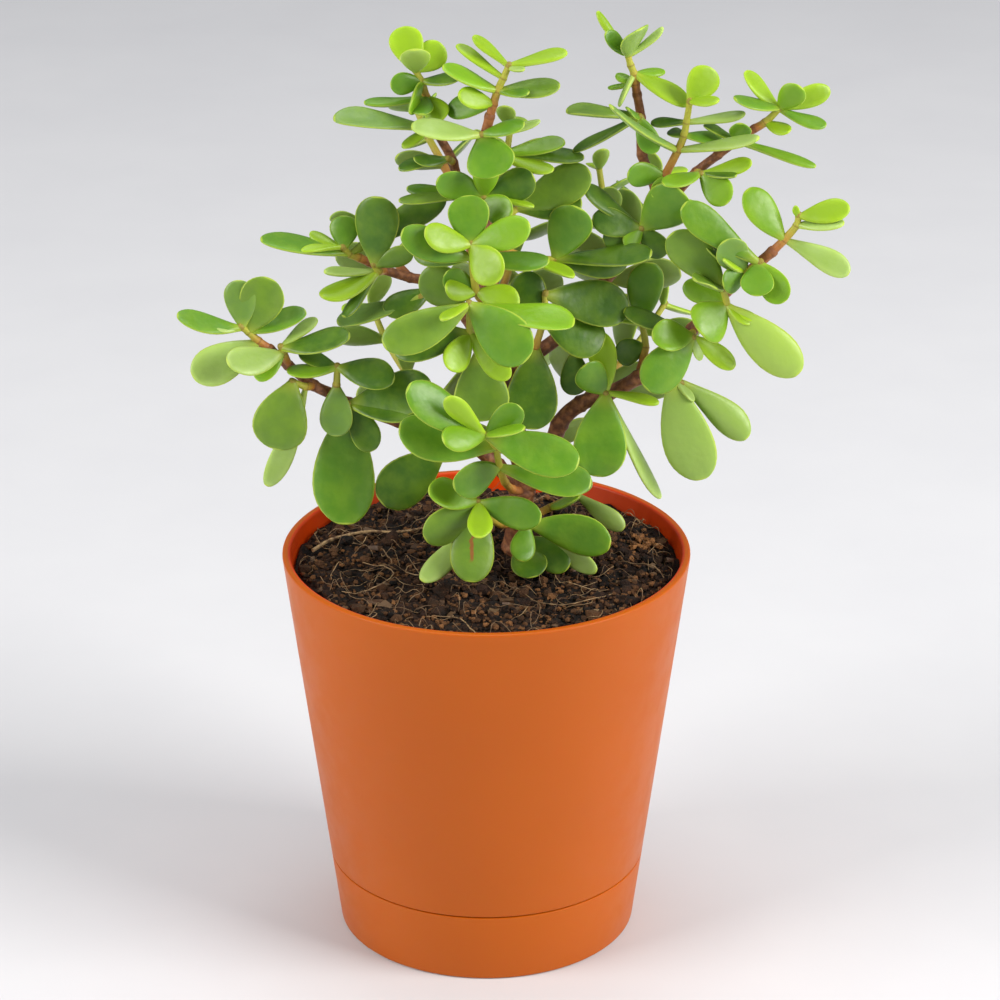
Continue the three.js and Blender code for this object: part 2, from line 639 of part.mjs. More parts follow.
/** What a stem's own parent takes away from it, so that it seats on the parent with a gap. */
function seatOf({ from }) {
  const parent = BRANCHES[from[0]];
  return stemSolid(routeOf(parent), parent.widths, WOOD_FACETS, SEAM_GAP);
}

/** A woody stem, seated on the stem that it grows out of. */
function branchSolid(branch) {
  const stem = stemSolid(routeOf(branch), branch.widths, WOOD_FACETS);
  return branch.from ? stem.subtract(seatOf(branch)) : stem;
}

/** A shoot's own stem, which carries on past its last leaves as a bud. */
function shootStem(shoot) {
  const route = routeOf(shoot);
  const ahead = route.at(-1).clone().sub(route.at(-2)).setLength(BUD * GROWTH);
  const budded = [...route.slice(0, -1), route.at(-1).clone().add(ahead)];
  return stemSolid(budded, SHOOT_WIDTHS, SHOOT_FACETS);
}

/** The largest of a solid's separate bodies: what is left once the slivers of a cut have dropped off. */
function mainBody(solid) {
  const bodies = solid.decompose();
  return bodies.reduce((largest, body) => (body.volume() > largest.volume() ? body : largest));
}

/** A leafy shoot: a green stem and its leaves, grown together and seated on their branch. */
function shootSolid(shoot, leaves) {
  const solids = leaves.map(({ base, reach, width, facing }) => leafSolid(base, reach, width, facing));
  const grown = solids.reduce((all, leaf) => all.add(leaf), shootStem(shoot));
  return mainBody(grown.subtract(seatOf(shoot)));
}

// ---- the assembly ----

const group = new THREE.Group();

let pot = turned(potProfile());
for (let i = 0; i < DRAIN_HOLES; i++) pot = pot.subtract(drainPlug(i));
group.add(meshOf('drip_tray', turned(trayProfile()), looks.drip_tray));
group.add(meshOf('pot_shell', pot, looks.pot_shell));

const trunkHole = stemSolid(routeOf(BRANCHES.trunk), BRANCHES.trunk.widths, WOOD_FACETS, SEAM_GAP);
group.add(meshOf('potting_soil', turned(soilProfile()).subtract(trunkHole), looks.potting_soil));

for (const [name, branch] of Object.entries(BRANCHES)) {
  group.add(meshOf(name, branchSolid(branch), looks.wood));
}
for (const [name, shoot] of Object.entries(SHOOTS)) {
  group.add(meshOf(name, shootSolid(shoot, listedLeaves(shoot)), looks.leaf));
}
for (const [name, shoot] of Object.entries(PAIRED_SHOOTS)) {
  group.add(meshOf(name, shootSolid(shoot, pairedLeaves(shoot)), looks.leaf));
}

export default group;
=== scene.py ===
"""A small-leaved jade plant in a tapered plastic planter: its finished meshes and materials.

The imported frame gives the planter's sizes and the height of the soil. The tables below repeat the part's own
list of stems and leaves, in millimetres with heights counted from the soil, and add each leaf's tone.
"""

import logging
import math
import random
from collections.abc import Callable, Iterable
from dataclasses import dataclass, field
from enum import Enum

import bmesh
import bpy
import numpy as np
from mathutils import Matrix, Vector


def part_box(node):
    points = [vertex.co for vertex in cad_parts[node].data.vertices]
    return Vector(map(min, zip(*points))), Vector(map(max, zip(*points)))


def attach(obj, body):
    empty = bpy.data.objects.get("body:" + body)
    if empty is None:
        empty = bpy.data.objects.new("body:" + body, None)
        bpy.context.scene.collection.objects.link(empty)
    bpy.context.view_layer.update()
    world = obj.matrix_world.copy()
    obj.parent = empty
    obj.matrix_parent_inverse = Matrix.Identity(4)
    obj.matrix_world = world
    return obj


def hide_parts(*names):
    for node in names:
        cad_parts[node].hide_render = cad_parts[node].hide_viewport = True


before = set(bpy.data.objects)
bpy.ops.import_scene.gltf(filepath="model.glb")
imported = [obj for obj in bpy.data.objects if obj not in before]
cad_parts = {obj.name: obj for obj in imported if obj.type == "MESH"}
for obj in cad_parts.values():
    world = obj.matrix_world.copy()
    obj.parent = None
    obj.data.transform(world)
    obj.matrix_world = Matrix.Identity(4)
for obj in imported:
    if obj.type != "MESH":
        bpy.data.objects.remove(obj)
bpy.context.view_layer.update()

MM = 0.001
LOG = logging.getLogger("jade plant")

Point = tuple[float, float, float]
Rgb = tuple[float, float, float]


# ---- the plant's table ----


class Face(Enum):
    """Which way the upper face of a leaf looks, as a direction."""

    SKY = (0.0, -0.35, 1.0)
    TILTED = (0.0, -1.0, 0.8)
    FRONT = (0.0, -1.0, 0.1)
    BACK = (0.0, 1.0, -0.1)
    LEFT = (-1.0, -0.3, 0.3)
    RIGHT = (1.0, -0.3, 0.3)


class Tone(Enum):
    """How old a leaf is and how much light it grew in, as the sRGB colour of its upper face; the darkest also
    holds painted shade.
    """

    LIME = "9abf1e"
    BRIGHT = "7aa81b"
    GREEN = "5b8b1b"
    OLIVE = "65842b"
    # Painted shade: deep green, darkened further for leaves that lie in the shade of other leaves.
    DARK = "3f6413"
    BLUISH = "6f9143"
    PALE = "a5c068"


@dataclass(frozen=True)
class Leaf:
    """One leaf of a shoot, in millimetres.

    Args:
        at: the shoot's point that it grows from, counting the point on the parent as 0
        x, y, z: the reach of its tip from there
        width: its greatest width
        face: which way its upper face looks
        tone: its colour
    """

    at: int
    x: float
    y: float
    z: float
    width: float
    face: Face
    tone: Tone


@dataclass(frozen=True)
class Branch:
    """A woody stem: the stem and point it leaves, its own points, and its width at foot and tip."""

    source: tuple[str, int] | None
    points: list[Point]
    widths: tuple[float, float]


@dataclass(frozen=True)
class Shoot:
    """A leafy shoot: the branch and point it leaves, its own points, and its leaves."""

    source: tuple[str, int]
    points: list[Point]
    leaves: list[Leaf]


@dataclass(frozen=True)
class PairedShoot:
    """A shoot that grows by rule: a pair of leaves at each point, each a quarter turn on."""

    source: tuple[str, int]
    points: list[Point]
    length: float
    width: float


BRANCHES: dict[str, Branch] = {
    "trunk": Branch(None, [
        (8, 5, -9), (8, 5, 2), (9, 4, 10), (9.5, 3.5, 19), (10, 3, 28),
    ], widths=(8, 6.6)),
    "centre_branch": Branch(("trunk", 4), [
        (7, 3, 40), (4, 3, 52), (2, 2, 72), (0, 1, 91), (-1, 0, 104), (-0.5, 0, 117), (1, -1, 125),
    ], widths=(6, 2.6)),
    "left_low_branch": Branch(("trunk", 3), [
        (3, 2, 27), (-3, 1, 33), (-10, -1, 38), (-23, -3, 42), (-36, -6, 48), (-40, -7, 51),
        (-45, -8, 54), (-51.5, -9, 60), (-56, -10.5, 65),
    ], widths=(4.6, 2.6)),
    "left_branch": Branch(("centre_branch", 2), [
        (-1, 6, 59), (-5, 7, 67), (-9, 8, 74), (-14, 8, 77), (-20, 7, 78.5), (-26.5, 6, 81),
        (-30.5, 5, 83.5),
    ], widths=(3.6, 2.4)),
    "top_left_branch": Branch(("centre_branch", 3), [
        (-3.5, 5, 86), (-6, 5, 99), (-8.5, 4.5, 111), (-12, 5, 118), (-14, 5, 124),
    ], widths=(3.2, 2.2)),
    "right_branch": Branch(("trunk", 3), [
        (16, 2, 27), (19.5, 2, 39), (25, 1.5, 45), (32, 1, 48), (40, 0, 53), (47, 0, 59.5),
        (54, -1, 67), (60, -2, 75), (67.5, -3, 83), (74, -4, 89.5),
    ], widths=(5.2, 2.8)),
    "top_right_branch": Branch(("centre_branch", 2), [
        (12, 5, 57), (20, 6, 63), (27, 7, 71), (33, 7.5, 80), (41, 7, 92), (44, 7, 101),
        (43, 7.5, 106), (40.5, 8, 112), (40, 8, 122), (39, 8, 128),
    ], widths=(4.2, 2.4)),
    "far_right_branch": Branch(("top_right_branch", 5), [
        (46, 8, 97), (50, 8, 102), (54.6, 7, 107.6), (60, 6, 112.5), (65.3, 5, 117), (69, 4.5, 120),
    ], widths=(3, 2.2)),
}

SHOOTS: dict[str, Shoot] = {
    "left_low_tip": Shoot(("left_low_branch", 9), [(-59, -11, 67.5), (-61.5, -12, 70.5), (-63, -13, 72)], [
        Leaf(3, -16.5, -3, 4.5, 8, Face.SKY, Tone.GREEN), Leaf(3, -7, -3, 1, 3, Face.SKY, Tone.PALE),
        Leaf(3, -1, 3, 12, 9, Face.FRONT, Tone.BLUISH), Leaf(2, 6, 2, 14, 12, Face.FRONT, Tone.OLIVE),
        Leaf(2, 15, 3, 4.5, 7, Face.SKY, Tone.GREEN), Leaf(1, -17, -5, -8, 11, Face.TILTED, Tone.PALE),
    ]),
    "left_low_upper": Shoot(("left_low_branch", 8), [(-52.5, -11.5, 64.5), (-53, -12, 66)], [
        Leaf(1, -14, -10, 1, 9, Face.TILTED, Tone.PALE), Leaf(2, 9, 6, 6, 5, Face.SKY, Tone.PALE),
        Leaf(2, 18, -2, 4, 10, Face.SKY, Tone.DARK), Leaf(1, -7, -4, -6, 6, Face.TILTED, Tone.BRIGHT),
    ]),
    "left_low_twig": Shoot(("left_low_branch", 6), [(-39, -10, 55), (-38.7, -10.5, 60)], [
        Leaf(2, -13, -3, 0, 7, Face.SKY, Tone.BRIGHT), Leaf(2, -10, 3, 3, 6, Face.SKY, Tone.DARK),
        Leaf(1, 0, -4, -13, 9, Face.FRONT, Tone.BLUISH),
        Leaf(2, 15, -4, -2, 9, Face.TILTED, Tone.DARK),
    ]),
    "left_low_hanging": Shoot(("left_low_branch", 7), [(-47, -11.5, 55), (-50, -13, 57)], [
        Leaf(2, -5, -5, -17, 15, Face.FRONT, Tone.OLIVE),
        Leaf(1, -10.5, -3, -27, 6.5, Face.FRONT, Tone.PALE),
    ]),
    "left_low_drooping": Shoot(("left_low_branch", 5), [(-36, -10, 49.5)], [
        Leaf(1, -1, -8, -31, 17, Face.FRONT, Tone.GREEN),
        Leaf(1, 6.5, -3, -12, 8, Face.FRONT, Tone.DARK), Leaf(1, -6, 3, -9, 4, Face.SKY, Tone.GREEN),
        Leaf(1, 22, -2, 6, 13, Face.TILTED, Tone.DARK), Leaf(1, 19, -5, 0, 11, Face.SKY, Tone.DARK),
    ]),
    "left_low_inner": Shoot(("left_low_branch", 3), [(-11, -7, 35)], [
        Leaf(1, -17, -6, -12, 14, Face.FRONT, Tone.DARK),
    ]),
    "left_tip": Shoot(("left_branch", 7), [(-33, 4.5, 84.8), (-35.6, 4, 86), (-37, 3, 88)], [
        Leaf(2, -23, -4, 5.5, 10, Face.SKY, Tone.GREEN), Leaf(3, -11, -5, 1, 3, Face.SKY, Tone.LIME),
        Leaf(3, 0, 3, 8, 8, Face.FRONT, Tone.GREEN), Leaf(3, -9, 4, 3, 4, Face.SKY, Tone.LIME),
        Leaf(2, 25, 4, 14.5, 8, Face.FRONT, Tone.DARK),
    ]),
    "left_upper": Shoot(("left_branch", 6), [(-28, 2, 82), (-29, 1, 84)], [
        Leaf(2, 10, -1, 4, 6, Face.FRONT, Tone.OLIVE), Leaf(1, -14, -6, 2, 4, Face.SKY, Tone.PALE),
        Leaf(1, -15, -8, -4, 8, Face.SKY, Tone.LIME), Leaf(1, -9, -10, -9, 4, Face.SKY, Tone.DARK),
        Leaf(2, 1, 0, 19, 12, Face.FRONT, Tone.DARK),
    ]),
    "left_inner": Shoot(("left_branch", 4), [(-14.5, 4, 76), (-17, 2, 75)], [
        Leaf(1, -12, -6, -4, 8, Face.TILTED, Tone.DARK),
        Leaf(2, -22, -4, -6, 9, Face.SKY, Tone.BLUISH),
    ]),
    "top_left_tip": Shoot(("top_left_branch", 5), [(-15.3, 5, 128.5), (-16.4, 5, 132.5), (-18, 5, 135.5)], [
        Leaf(3, -4, 5, 10, 9, Face.FRONT, Tone.LIME), Leaf(3, 0, -8, 8, 8, Face.SKY, Tone.LIME),
        Leaf(3, 7, 3, 6, 8, Face.FRONT, Tone.LIME), Leaf(3, -4, -3, 4, 3, Face.SKY, Tone.LIME),
        Leaf(2, 11, -3, 3, 7, Face.SKY, Tone.DARK), Leaf(2, -8, -3, 0, 6, Face.FRONT, Tone.GREEN),
        Leaf(2, -3, -8, -6, 5, Face.RIGHT, Tone.BRIGHT), Leaf(1, -16, -2, -1, 4, Face.SKY, Tone.GREEN),
        Leaf(1, -1, -9, -2, 6, Face.TILTED, Tone.GREEN),
        Leaf(1, 4.5, -6.5, -4, 7, Face.FRONT, Tone.LIME),
    ]),
    "top_left_upper": Shoot(("top_left_branch", 4), [(-14.5, 1.5, 121)], [
        Leaf(1, -24.5, -4, 4, 8, Face.SKY, Tone.BLUISH), Leaf(1, -7, -2, -4, 4, Face.SKY, Tone.LIME),
    ]),
    "top_left_lower": Shoot(("top_left_branch", 3), [(-9.5, 1, 113)], [
        Leaf(1, -13, -2, -2, 5, Face.SKY, Tone.DARK), Leaf(1, -9, -3, 1, 5, Face.SKY, Tone.DARK),
    ]),
    "top_centre_tip": Shoot(("centre_branch", 7),
        [(2, -1.2, 128.5), (3, -1.5, 132), (4.5, -2, 135.6), (5.8, -2, 138.6)], [
        Leaf(4, -9, 4, 7, 4, Face.SKY, Tone.LIME), Leaf(3, -12, 6, 7, 4, Face.SKY, Tone.LIME),
        Leaf(4, 15, -1, 4, 6, Face.SKY, Tone.LIME), Leaf(4, 4, -3, 0, 3, Face.SKY, Tone.PALE),
        Leaf(2, 16, -2, 2, 8, Face.SKY, Tone.OLIVE), Leaf(2, 8, -5, 1, 4, Face.SKY, Tone.GREEN),
        Leaf(2, -14, -2, 7, 8, Face.SKY, Tone.BRIGHT), Leaf(1, -9, -5, 4, 6, Face.TILTED, Tone.LIME),
        Leaf(1, -12, 4, -3, 7, Face.TILTED, Tone.GREEN),
    ]),
    "top_centre_upper": Shoot(("centre_branch", 6), [(-1, -4, 121)], [
        Leaf(1, 11, -3, 4, 6, Face.SKY, Tone.GREEN), Leaf(1, 15, 3, 3, 3, Face.SKY, Tone.PALE),
        Leaf(1, 4, -6, -9, 13, Face.FRONT, Tone.GREEN), Leaf(1, -18, -2, 3, 8, Face.SKY, Tone.PALE),
    ]),
    "top_centre_right": Shoot(("centre_branch", 6), [(3.5, 2, 114)], [
        Leaf(1, 17, 1, 3, 6, Face.SKY, Tone.BRIGHT), Leaf(1, 22, 4, -2, 6, Face.SKY, Tone.DARK),
        Leaf(1, 14, -4, -3, 6, Face.SKY, Tone.LIME),
    ]),
    "top_centre_lower": Shoot(("centre_branch", 5), [(-0.5, -4, 104.5)], [
        Leaf(1, 1, -4, 10, 7, Face.FRONT, Tone.BRIGHT), Leaf(1, -12, -4, 6, 8, Face.FRONT, Tone.GREEN),
        Leaf(1, 13, -2, 6, 9, Face.FRONT, Tone.DARK), Leaf(1, 7, -7, -3, 8, Face.FRONT, Tone.BRIGHT),
        Leaf(1, 13, -2, -2, 3, Face.SKY, Tone.LIME), Leaf(1, -20, 4, 1, 5, Face.SKY, Tone.DARK),
        Leaf(1, -22, 0, -1, 5, Face.SKY, Tone.OLIVE),
    ]),
    "top_centre_rear": Shoot(("centre_branch", 4), [(5, 2, 96.5), (8, 3, 98.8)], [
        Leaf(2, 19, 1, 10, 11, Face.TILTED, Tone.OLIVE), Leaf(2, 17, -1, 2, 9, Face.TILTED, Tone.DARK),
    ]),
    "centre_right_upper": Shoot(("centre_branch", 4), [(9, 0, 87), (18, 0, 86)], [
        Leaf(2, 6, -2, 15, 12, Face.FRONT, Tone.GREEN), Leaf(2, 25, -6, 3.8, 9, Face.SKY, Tone.DARK),
        Leaf(2, 19, 4, -2, 9, Face.TILTED, Tone.DARK), Leaf(1, 14, -5, -4, 5, Face.SKY, Tone.LIME),
    ]),
    "centre_upper": Shoot(("centre_branch", 3),
        [(0, -6, 76), (-2.4, -11, 81), (-3.6, -13, 91), (-3.6, -14, 95)], [
        Leaf(4, -1, 4, 12, 11, Face.FRONT, Tone.GREEN),
        Leaf(4, 15, -2, 6, 9, Face.TILTED, Tone.BRIGHT),
        Leaf(4, -12, -4, 5, 8, Face.TILTED, Tone.LIME),
        Leaf(3, -18, -3, 8, 9, Face.TILTED, Tone.GREEN), Leaf(4, 7, -8, -7, 10, Face.FRONT, Tone.LIME),
        Leaf(3, 20, -2, 0, 9, Face.SKY, Tone.GREEN), Leaf(2, 11, -4, -2, 8, Face.TILTED, Tone.LIME),
        Leaf(2, -8, -5, 3, 6, Face.TILTED, Tone.LIME), Leaf(2, -8, -2, 6, 7, Face.FRONT, Tone.GREEN),
        Leaf(2, -15, 3, 2, 12, Face.FRONT, Tone.OLIVE), Leaf(3, -15, 5, 0, 8, Face.TILTED, Tone.DARK),
    ]),
    "centre_front": Shoot(("centre_branch", 2),
        [(1, -7, 58), (-2, -13, 65), (-4, -17, 72), (-4.2, -20, 81)], [
        Leaf(4, 15, -8, -12, 14, Face.FRONT, Tone.GREEN),
        Leaf(4, -22, -6, -9, 11, Face.TILTED, Tone.OLIVE), Leaf(4, -7, -9, -1, 4, Face.SKY, Tone.LIME),
        Leaf(4, 27, -3, -4, 11, Face.SKY, Tone.BRIGHT),
        Leaf(3, -20, -2, -4, 11, Face.TILTED, Tone.DARK),
        Leaf(3, -5.5, -9, -6.5, 8, Face.FRONT, Tone.LIME),
        Leaf(3, 10, -7, -10, 7, Face.FRONT, Tone.LIME),
        Leaf(2, 1, -3, -18, 15, Face.FRONT, Tone.OLIVE),
    ]),
    "centre_right": Shoot(("top_right_branch", 1), [(13, -0.5, 62), (15, -2, 70), (15.5, -2, 77)], [
        Leaf(3, 22, 2, -5, 13, Face.TILTED, Tone.DARK),
        Leaf(2, 16, -1, -6, 13, Face.TILTED, Tone.DARK),
        Leaf(1, -1, -4, -22, 14, Face.FRONT, Tone.DARK), Leaf(2, -6, 3, 12, 10, Face.FRONT, Tone.DARK),
    ]),
    "centre_right_low": Shoot(("top_right_branch", 2), [(23, 2, 60)], [
        Leaf(1, 0, -2, -12, 8, Face.FRONT, Tone.DARK),
    ]),
    "right_tip": Shoot(("right_branch", 10), [(77, -4.6, 93), (80, -5, 97), (80.5, -5, 99.5)], [
        Leaf(3, 13, -2, 3, 7, Face.TILTED, Tone.LIME), Leaf(2, 12, -4, 2, 6, Face.SKY, Tone.PALE),
        Leaf(3, -1, 0, 3, 2, Face.FRONT, Tone.LIME), Leaf(1, -10, 2, 13, 9, Face.TILTED, Tone.BRIGHT),
        Leaf(1, 17, -3, -8, 7, Face.TILTED, Tone.PALE),
    ]),
    "right_upper": Shoot(("right_branch", 9), [(67, -6.8, 84.5), (70.5, -8, 88)], [
        Leaf(2, -1, -6, -7, 9, Face.FRONT, Tone.GREEN),
        Leaf(2, 6.5, -5, -9, 8, Face.FRONT, Tone.BRIGHT),
        Leaf(2, -20, 2, 15, 9, Face.TILTED, Tone.GREEN), Leaf(2, -17, 4, 10, 6, Face.SKY, Tone.DARK),
        Leaf(1, -6, -3, 10, 9, Face.FRONT, Tone.BLUISH), Leaf(1, -6, -6, 6, 3, Face.SKY, Tone.LIME),
        Leaf(1, -6, -5, -1, 7, Face.FRONT, Tone.GREEN), Leaf(1, -11, 4, 8, 5, Face.SKY, Tone.DARK),
    ]),
    "right_hanging": Shoot(("right_branch", 8), [(62.5, -5.5, 75.5), (61.5, -6.5, 80)], [
        Leaf(2, -14, 1, 15, 11, Face.FRONT, Tone.OLIVE), Leaf(2, -8, -6, 5, 7, Face.SKY, Tone.OLIVE),
        Leaf(1, 19, -7, -16.5, 12, Face.BACK, Tone.LIME),
        Leaf(1, -7, -8, -5, 12, Face.FRONT, Tone.BRIGHT), Leaf(1, 8, -3, -3, 4, Face.SKY, Tone.LIME),
        Leaf(1, 6, -4, -4, 4, Face.SKY, Tone.LIME), Leaf(1, -11, 5, 4, 7, Face.TILTED, Tone.BRIGHT),
    ]),
    "right_lower": Shoot(("right_branch", 7), [(54, -5, 66.5)], [
        Leaf(1, -11, -5, 2, 9, Face.TILTED, Tone.BRIGHT),
        Leaf(1, 11, -2, -8, 6, Face.TILTED, Tone.LIME), Leaf(1, 2, -2, -6, 3, Face.SKY, Tone.PALE),
        Leaf(1, -18, 4, 6, 7, Face.SKY, Tone.DARK),
        Leaf(1, -12.5, -8, -11.5, 12, Face.FRONT, Tone.GREEN),
    ]),
    "right_lower_hanging": Shoot(("right_branch", 6), [(48.5, -4, 55), (51, -4.5, 53.5)], [
        Leaf(1, 8.5, -5, -27.5, 14, Face.BACK, Tone.BRIGHT),
        Leaf(2, 18, -2, -15, 9, Face.BACK, Tone.BRIGHT), Leaf(1, 6, -3, -6, 3, Face.SKY, Tone.PALE),
    ]),
    "right_foot": Shoot(("right_branch", 4), [(31.5, -3.5, 50)], [
        Leaf(1, -2, 4, 16, 8, Face.FRONT, Tone.LIME), Leaf(1, -6, -3, 9, 9, Face.FRONT, Tone.GREEN),
        Leaf(1, -2, -7, -21, 14.5, Face.FRONT, Tone.GREEN),
        Leaf(1, 15, 0, -30, 8, Face.RIGHT, Tone.PALE), Leaf(1, 14, -2, -2, 4, Face.SKY, Tone.LIME),
    ]),
    "right_inner": Shoot(("right_branch", 5), [(42, 4, 60), (41, 4.5, 66.5)], [
        Leaf(2, 2, 2, 16.5, 10, Face.FRONT, Tone.GREEN), Leaf(2, -12, -3, 5, 5, Face.SKY, Tone.BRIGHT),
        Leaf(1, -8, -1, -1.5, 8, Face.FRONT, Tone.DARK),
    ]),
    "top_right_inner": Shoot(("top_right_branch", 5), [(40.5, 3, 93.5)], [
        Leaf(1, 10, -5, 12, 13, Face.FRONT, Tone.GREEN), Leaf(1, -15, 2, 11, 7, Face.SKY, Tone.DARK),
        Leaf(1, -13, -1, 3, 8, Face.TILTED, Tone.DARK), Leaf(1, -10, -2, -3, 8, Face.FRONT, Tone.DARK),
        Leaf(1, -4, -4, -4, 5, Face.FRONT, Tone.BRIGHT), Leaf(1, 6, -2, -7, 7, Face.FRONT, Tone.DARK),
    ]),
    "top_right_second": Shoot(("top_right_branch", 6),
        [(46.5, 6, 107), (49.6, 4, 114.5), (51, 2.5, 119), (51.5, 2, 122.6), (52.2, 1, 128.3)], [
        Leaf(5, 6, 3, 8, 9, Face.FRONT, Tone.LIME), Leaf(5, 7, -6, 2, 5, Face.SKY, Tone.LIME),
        Leaf(4, 15, -2, 3, 4, Face.SKY, Tone.PALE), Leaf(3, 10, 2, -2, 5, Face.SKY, Tone.GREEN),
        Leaf(3, -4, 3, 0, 4, Face.SKY, Tone.DARK), Leaf(2, 20, -12, 7, 6, Face.SKY, Tone.PALE),
        Leaf(4, -9, 3, -1, 4, Face.SKY, Tone.DARK), Leaf(2, -18, -12, 15.6, 8, Face.SKY, Tone.BLUISH),
        Leaf(1, -10, -5, 2, 7, Face.FRONT, Tone.GREEN),
        Leaf(1, -3, -5.5, -4.5, 5, Face.FRONT, Tone.BRIGHT),
    ]),
    "top_right_tip": Shoot(("top_right_branch", 10),
        [(38.5, 8, 131), (38.2, 8, 133.5), (37.2, 8, 136), (36.5, 8, 138.5)], [
        Leaf(4, -8, 3, 11, 3, Face.SKY, Tone.LIME), Leaf(4, -6, -3, 7, 5, Face.TILTED, Tone.GREEN),
        Leaf(4, 3, -6, 9, 10, Face.SKY, Tone.GREEN), Leaf(4, 9, 2, 7, 3, Face.SKY, Tone.PALE),
        Leaf(1, -5, 2, 2, 4, Face.SKY, Tone.BRIGHT), Leaf(2, -4, -5, -7, 4, Face.LEFT, Tone.PALE),
        Leaf(2, 8, 3, 0, 4, Face.SKY, Tone.BRIGHT), Leaf(2, 14, -4, -7, 7, Face.SKY, Tone.LIME),
        Leaf(1, -7, 3, -2, 2, Face.SKY, Tone.BRIGHT),
    ]),
    "top_right_middle": Shoot(("top_right_branch", 9), [(39.5, 4, 123.5)], [
        Leaf(1, -3, -3, 3, 5, Face.SKY, Tone.GREEN), Leaf(1, -19, -2, 2, 7, Face.SKY, Tone.OLIVE),
        Leaf(1, -17, 2, -10, 4, Face.SKY, Tone.DARK), Leaf(1, 4, -3, -9, 6, Face.FRONT, Tone.GREEN),
    ]),
    "far_right_tip": Shoot(("far_right_branch", 6), [(71.9, 4, 122), (75.4, 3, 126)], [
        Leaf(2, -9, 3, 9, 6, Face.SKY, Tone.LIME), Leaf(2, 5, -4, 7, 7, Face.FRONT, Tone.BRIGHT),
        Leaf(2, 13, 2, 4.5, 6, Face.FRONT, Tone.LIME), Leaf(2, -12, -5, 4, 8, Face.SKY, Tone.GREEN),
        Leaf(2, 12, -2, -4, 5, Face.SKY, Tone.GREEN), Leaf(1, 6, -5, -1, 5, Face.SKY, Tone.LIME),
    ]),
    "far_right_middle": Shoot(("far_right_branch", 5), [(65, 1.5, 117.5)], [
        Leaf(1, -9, 2, 4, 4, Face.SKY, Tone.DARK), Leaf(1, 0, -3, 6, 6, Face.FRONT, Tone.GREEN),
        Leaf(1, 20, -2, -6, 4, Face.SKY, Tone.BRIGHT),
    ]),
    "far_right_lower": Shoot(("far_right_branch", 3), [(55.5, 3, 108.5)], [
        Leaf(1, 13, -3, 4, 5, Face.TILTED, Tone.LIME), Leaf(1, 9, -5, 1, 4, Face.SKY, Tone.DARK),
        Leaf(1, 7, -6, -6, 8, Face.FRONT, Tone.BRIGHT), Leaf(1, -10, -6, -1, 6, Face.SKY, Tone.BRIGHT),
    ]),
    "front_rosette": Shoot(("trunk", 3),
        [(7, -7, 24), (5, -14, 29), (3.5, -20, 36), (2.5, -24, 43), (0, -28, 48)], [
        Leaf(5, -20, -4, 15, 11, Face.TILTED, Tone.GREEN),
        Leaf(5, -10, -6, 13, 6, Face.FRONT, Tone.LIME), Leaf(5, 9, 0, 8, 8, Face.FRONT, Tone.GREEN),
        Leaf(5, 10, -5, 4, 6, Face.SKY, Tone.BRIGHT), Leaf(4, -25, -1, 6, 13, Face.TILTED, Tone.GREEN),
        Leaf(5, -11, -8, 2, 8, Face.TILTED, Tone.BRIGHT),
        Leaf(5, 24, -3, -6.5, 12, Face.TILTED, Tone.GREEN),
        Leaf(3, 24, -2, -4, 10, Face.TILTED, Tone.GREEN),
        Leaf(3, -12, -8, -2, 10, Face.FRONT, Tone.GREEN),
    ]),
    "front_low": Shoot(("trunk", 2), [(4, -5, 13), (0, -12, 19), (-2, -18, 25)], [
        Leaf(3, -13, -6, 6, 9, Face.TILTED, Tone.BRIGHT),
        Leaf(3, -14, -6, -8, 10, Face.FRONT, Tone.OLIVE),
        Leaf(2, -17, -12, -14, 7, Face.TILTED, Tone.PALE),
        Leaf(3, -2, -9, -19, 12, Face.FRONT, Tone.OLIVE),
        Leaf(3, 0, -12, -5, 7, Face.FRONT, Tone.LIME),
        Leaf(3, 16.5, -6, -2, 9, Face.FRONT, Tone.GREEN),
    ]),
    "front_low_right": Shoot(("trunk", 1), [(9.5, -3, 8), (11, -10, 15)], [
        Leaf(2, -2, -8, -7, 7, Face.FRONT, Tone.GREEN),
        Leaf(1, 3, -10, -7, 10, Face.TILTED, Tone.DARK),
        Leaf(1, 12.5, -6, -6, 9, Face.TILTED, Tone.DARK),
        Leaf(2, 22, -4, -4, 11, Face.FRONT, Tone.GREEN), Leaf(1, 20, -8, -6, 6, Face.FRONT, Tone.PALE),
    ]),
    "low_right": Shoot(("trunk", 2), [(17, 6, 13), (24, 6, 17)], [
        Leaf(2, 13, -3, -9, 6, Face.FRONT, Tone.PALE), Leaf(2, 4, 2, 4, 4, Face.FRONT, Tone.PALE),
        Leaf(1, 8, -6, 6, 5, Face.SKY, Tone.BRIGHT),
    ]),
}

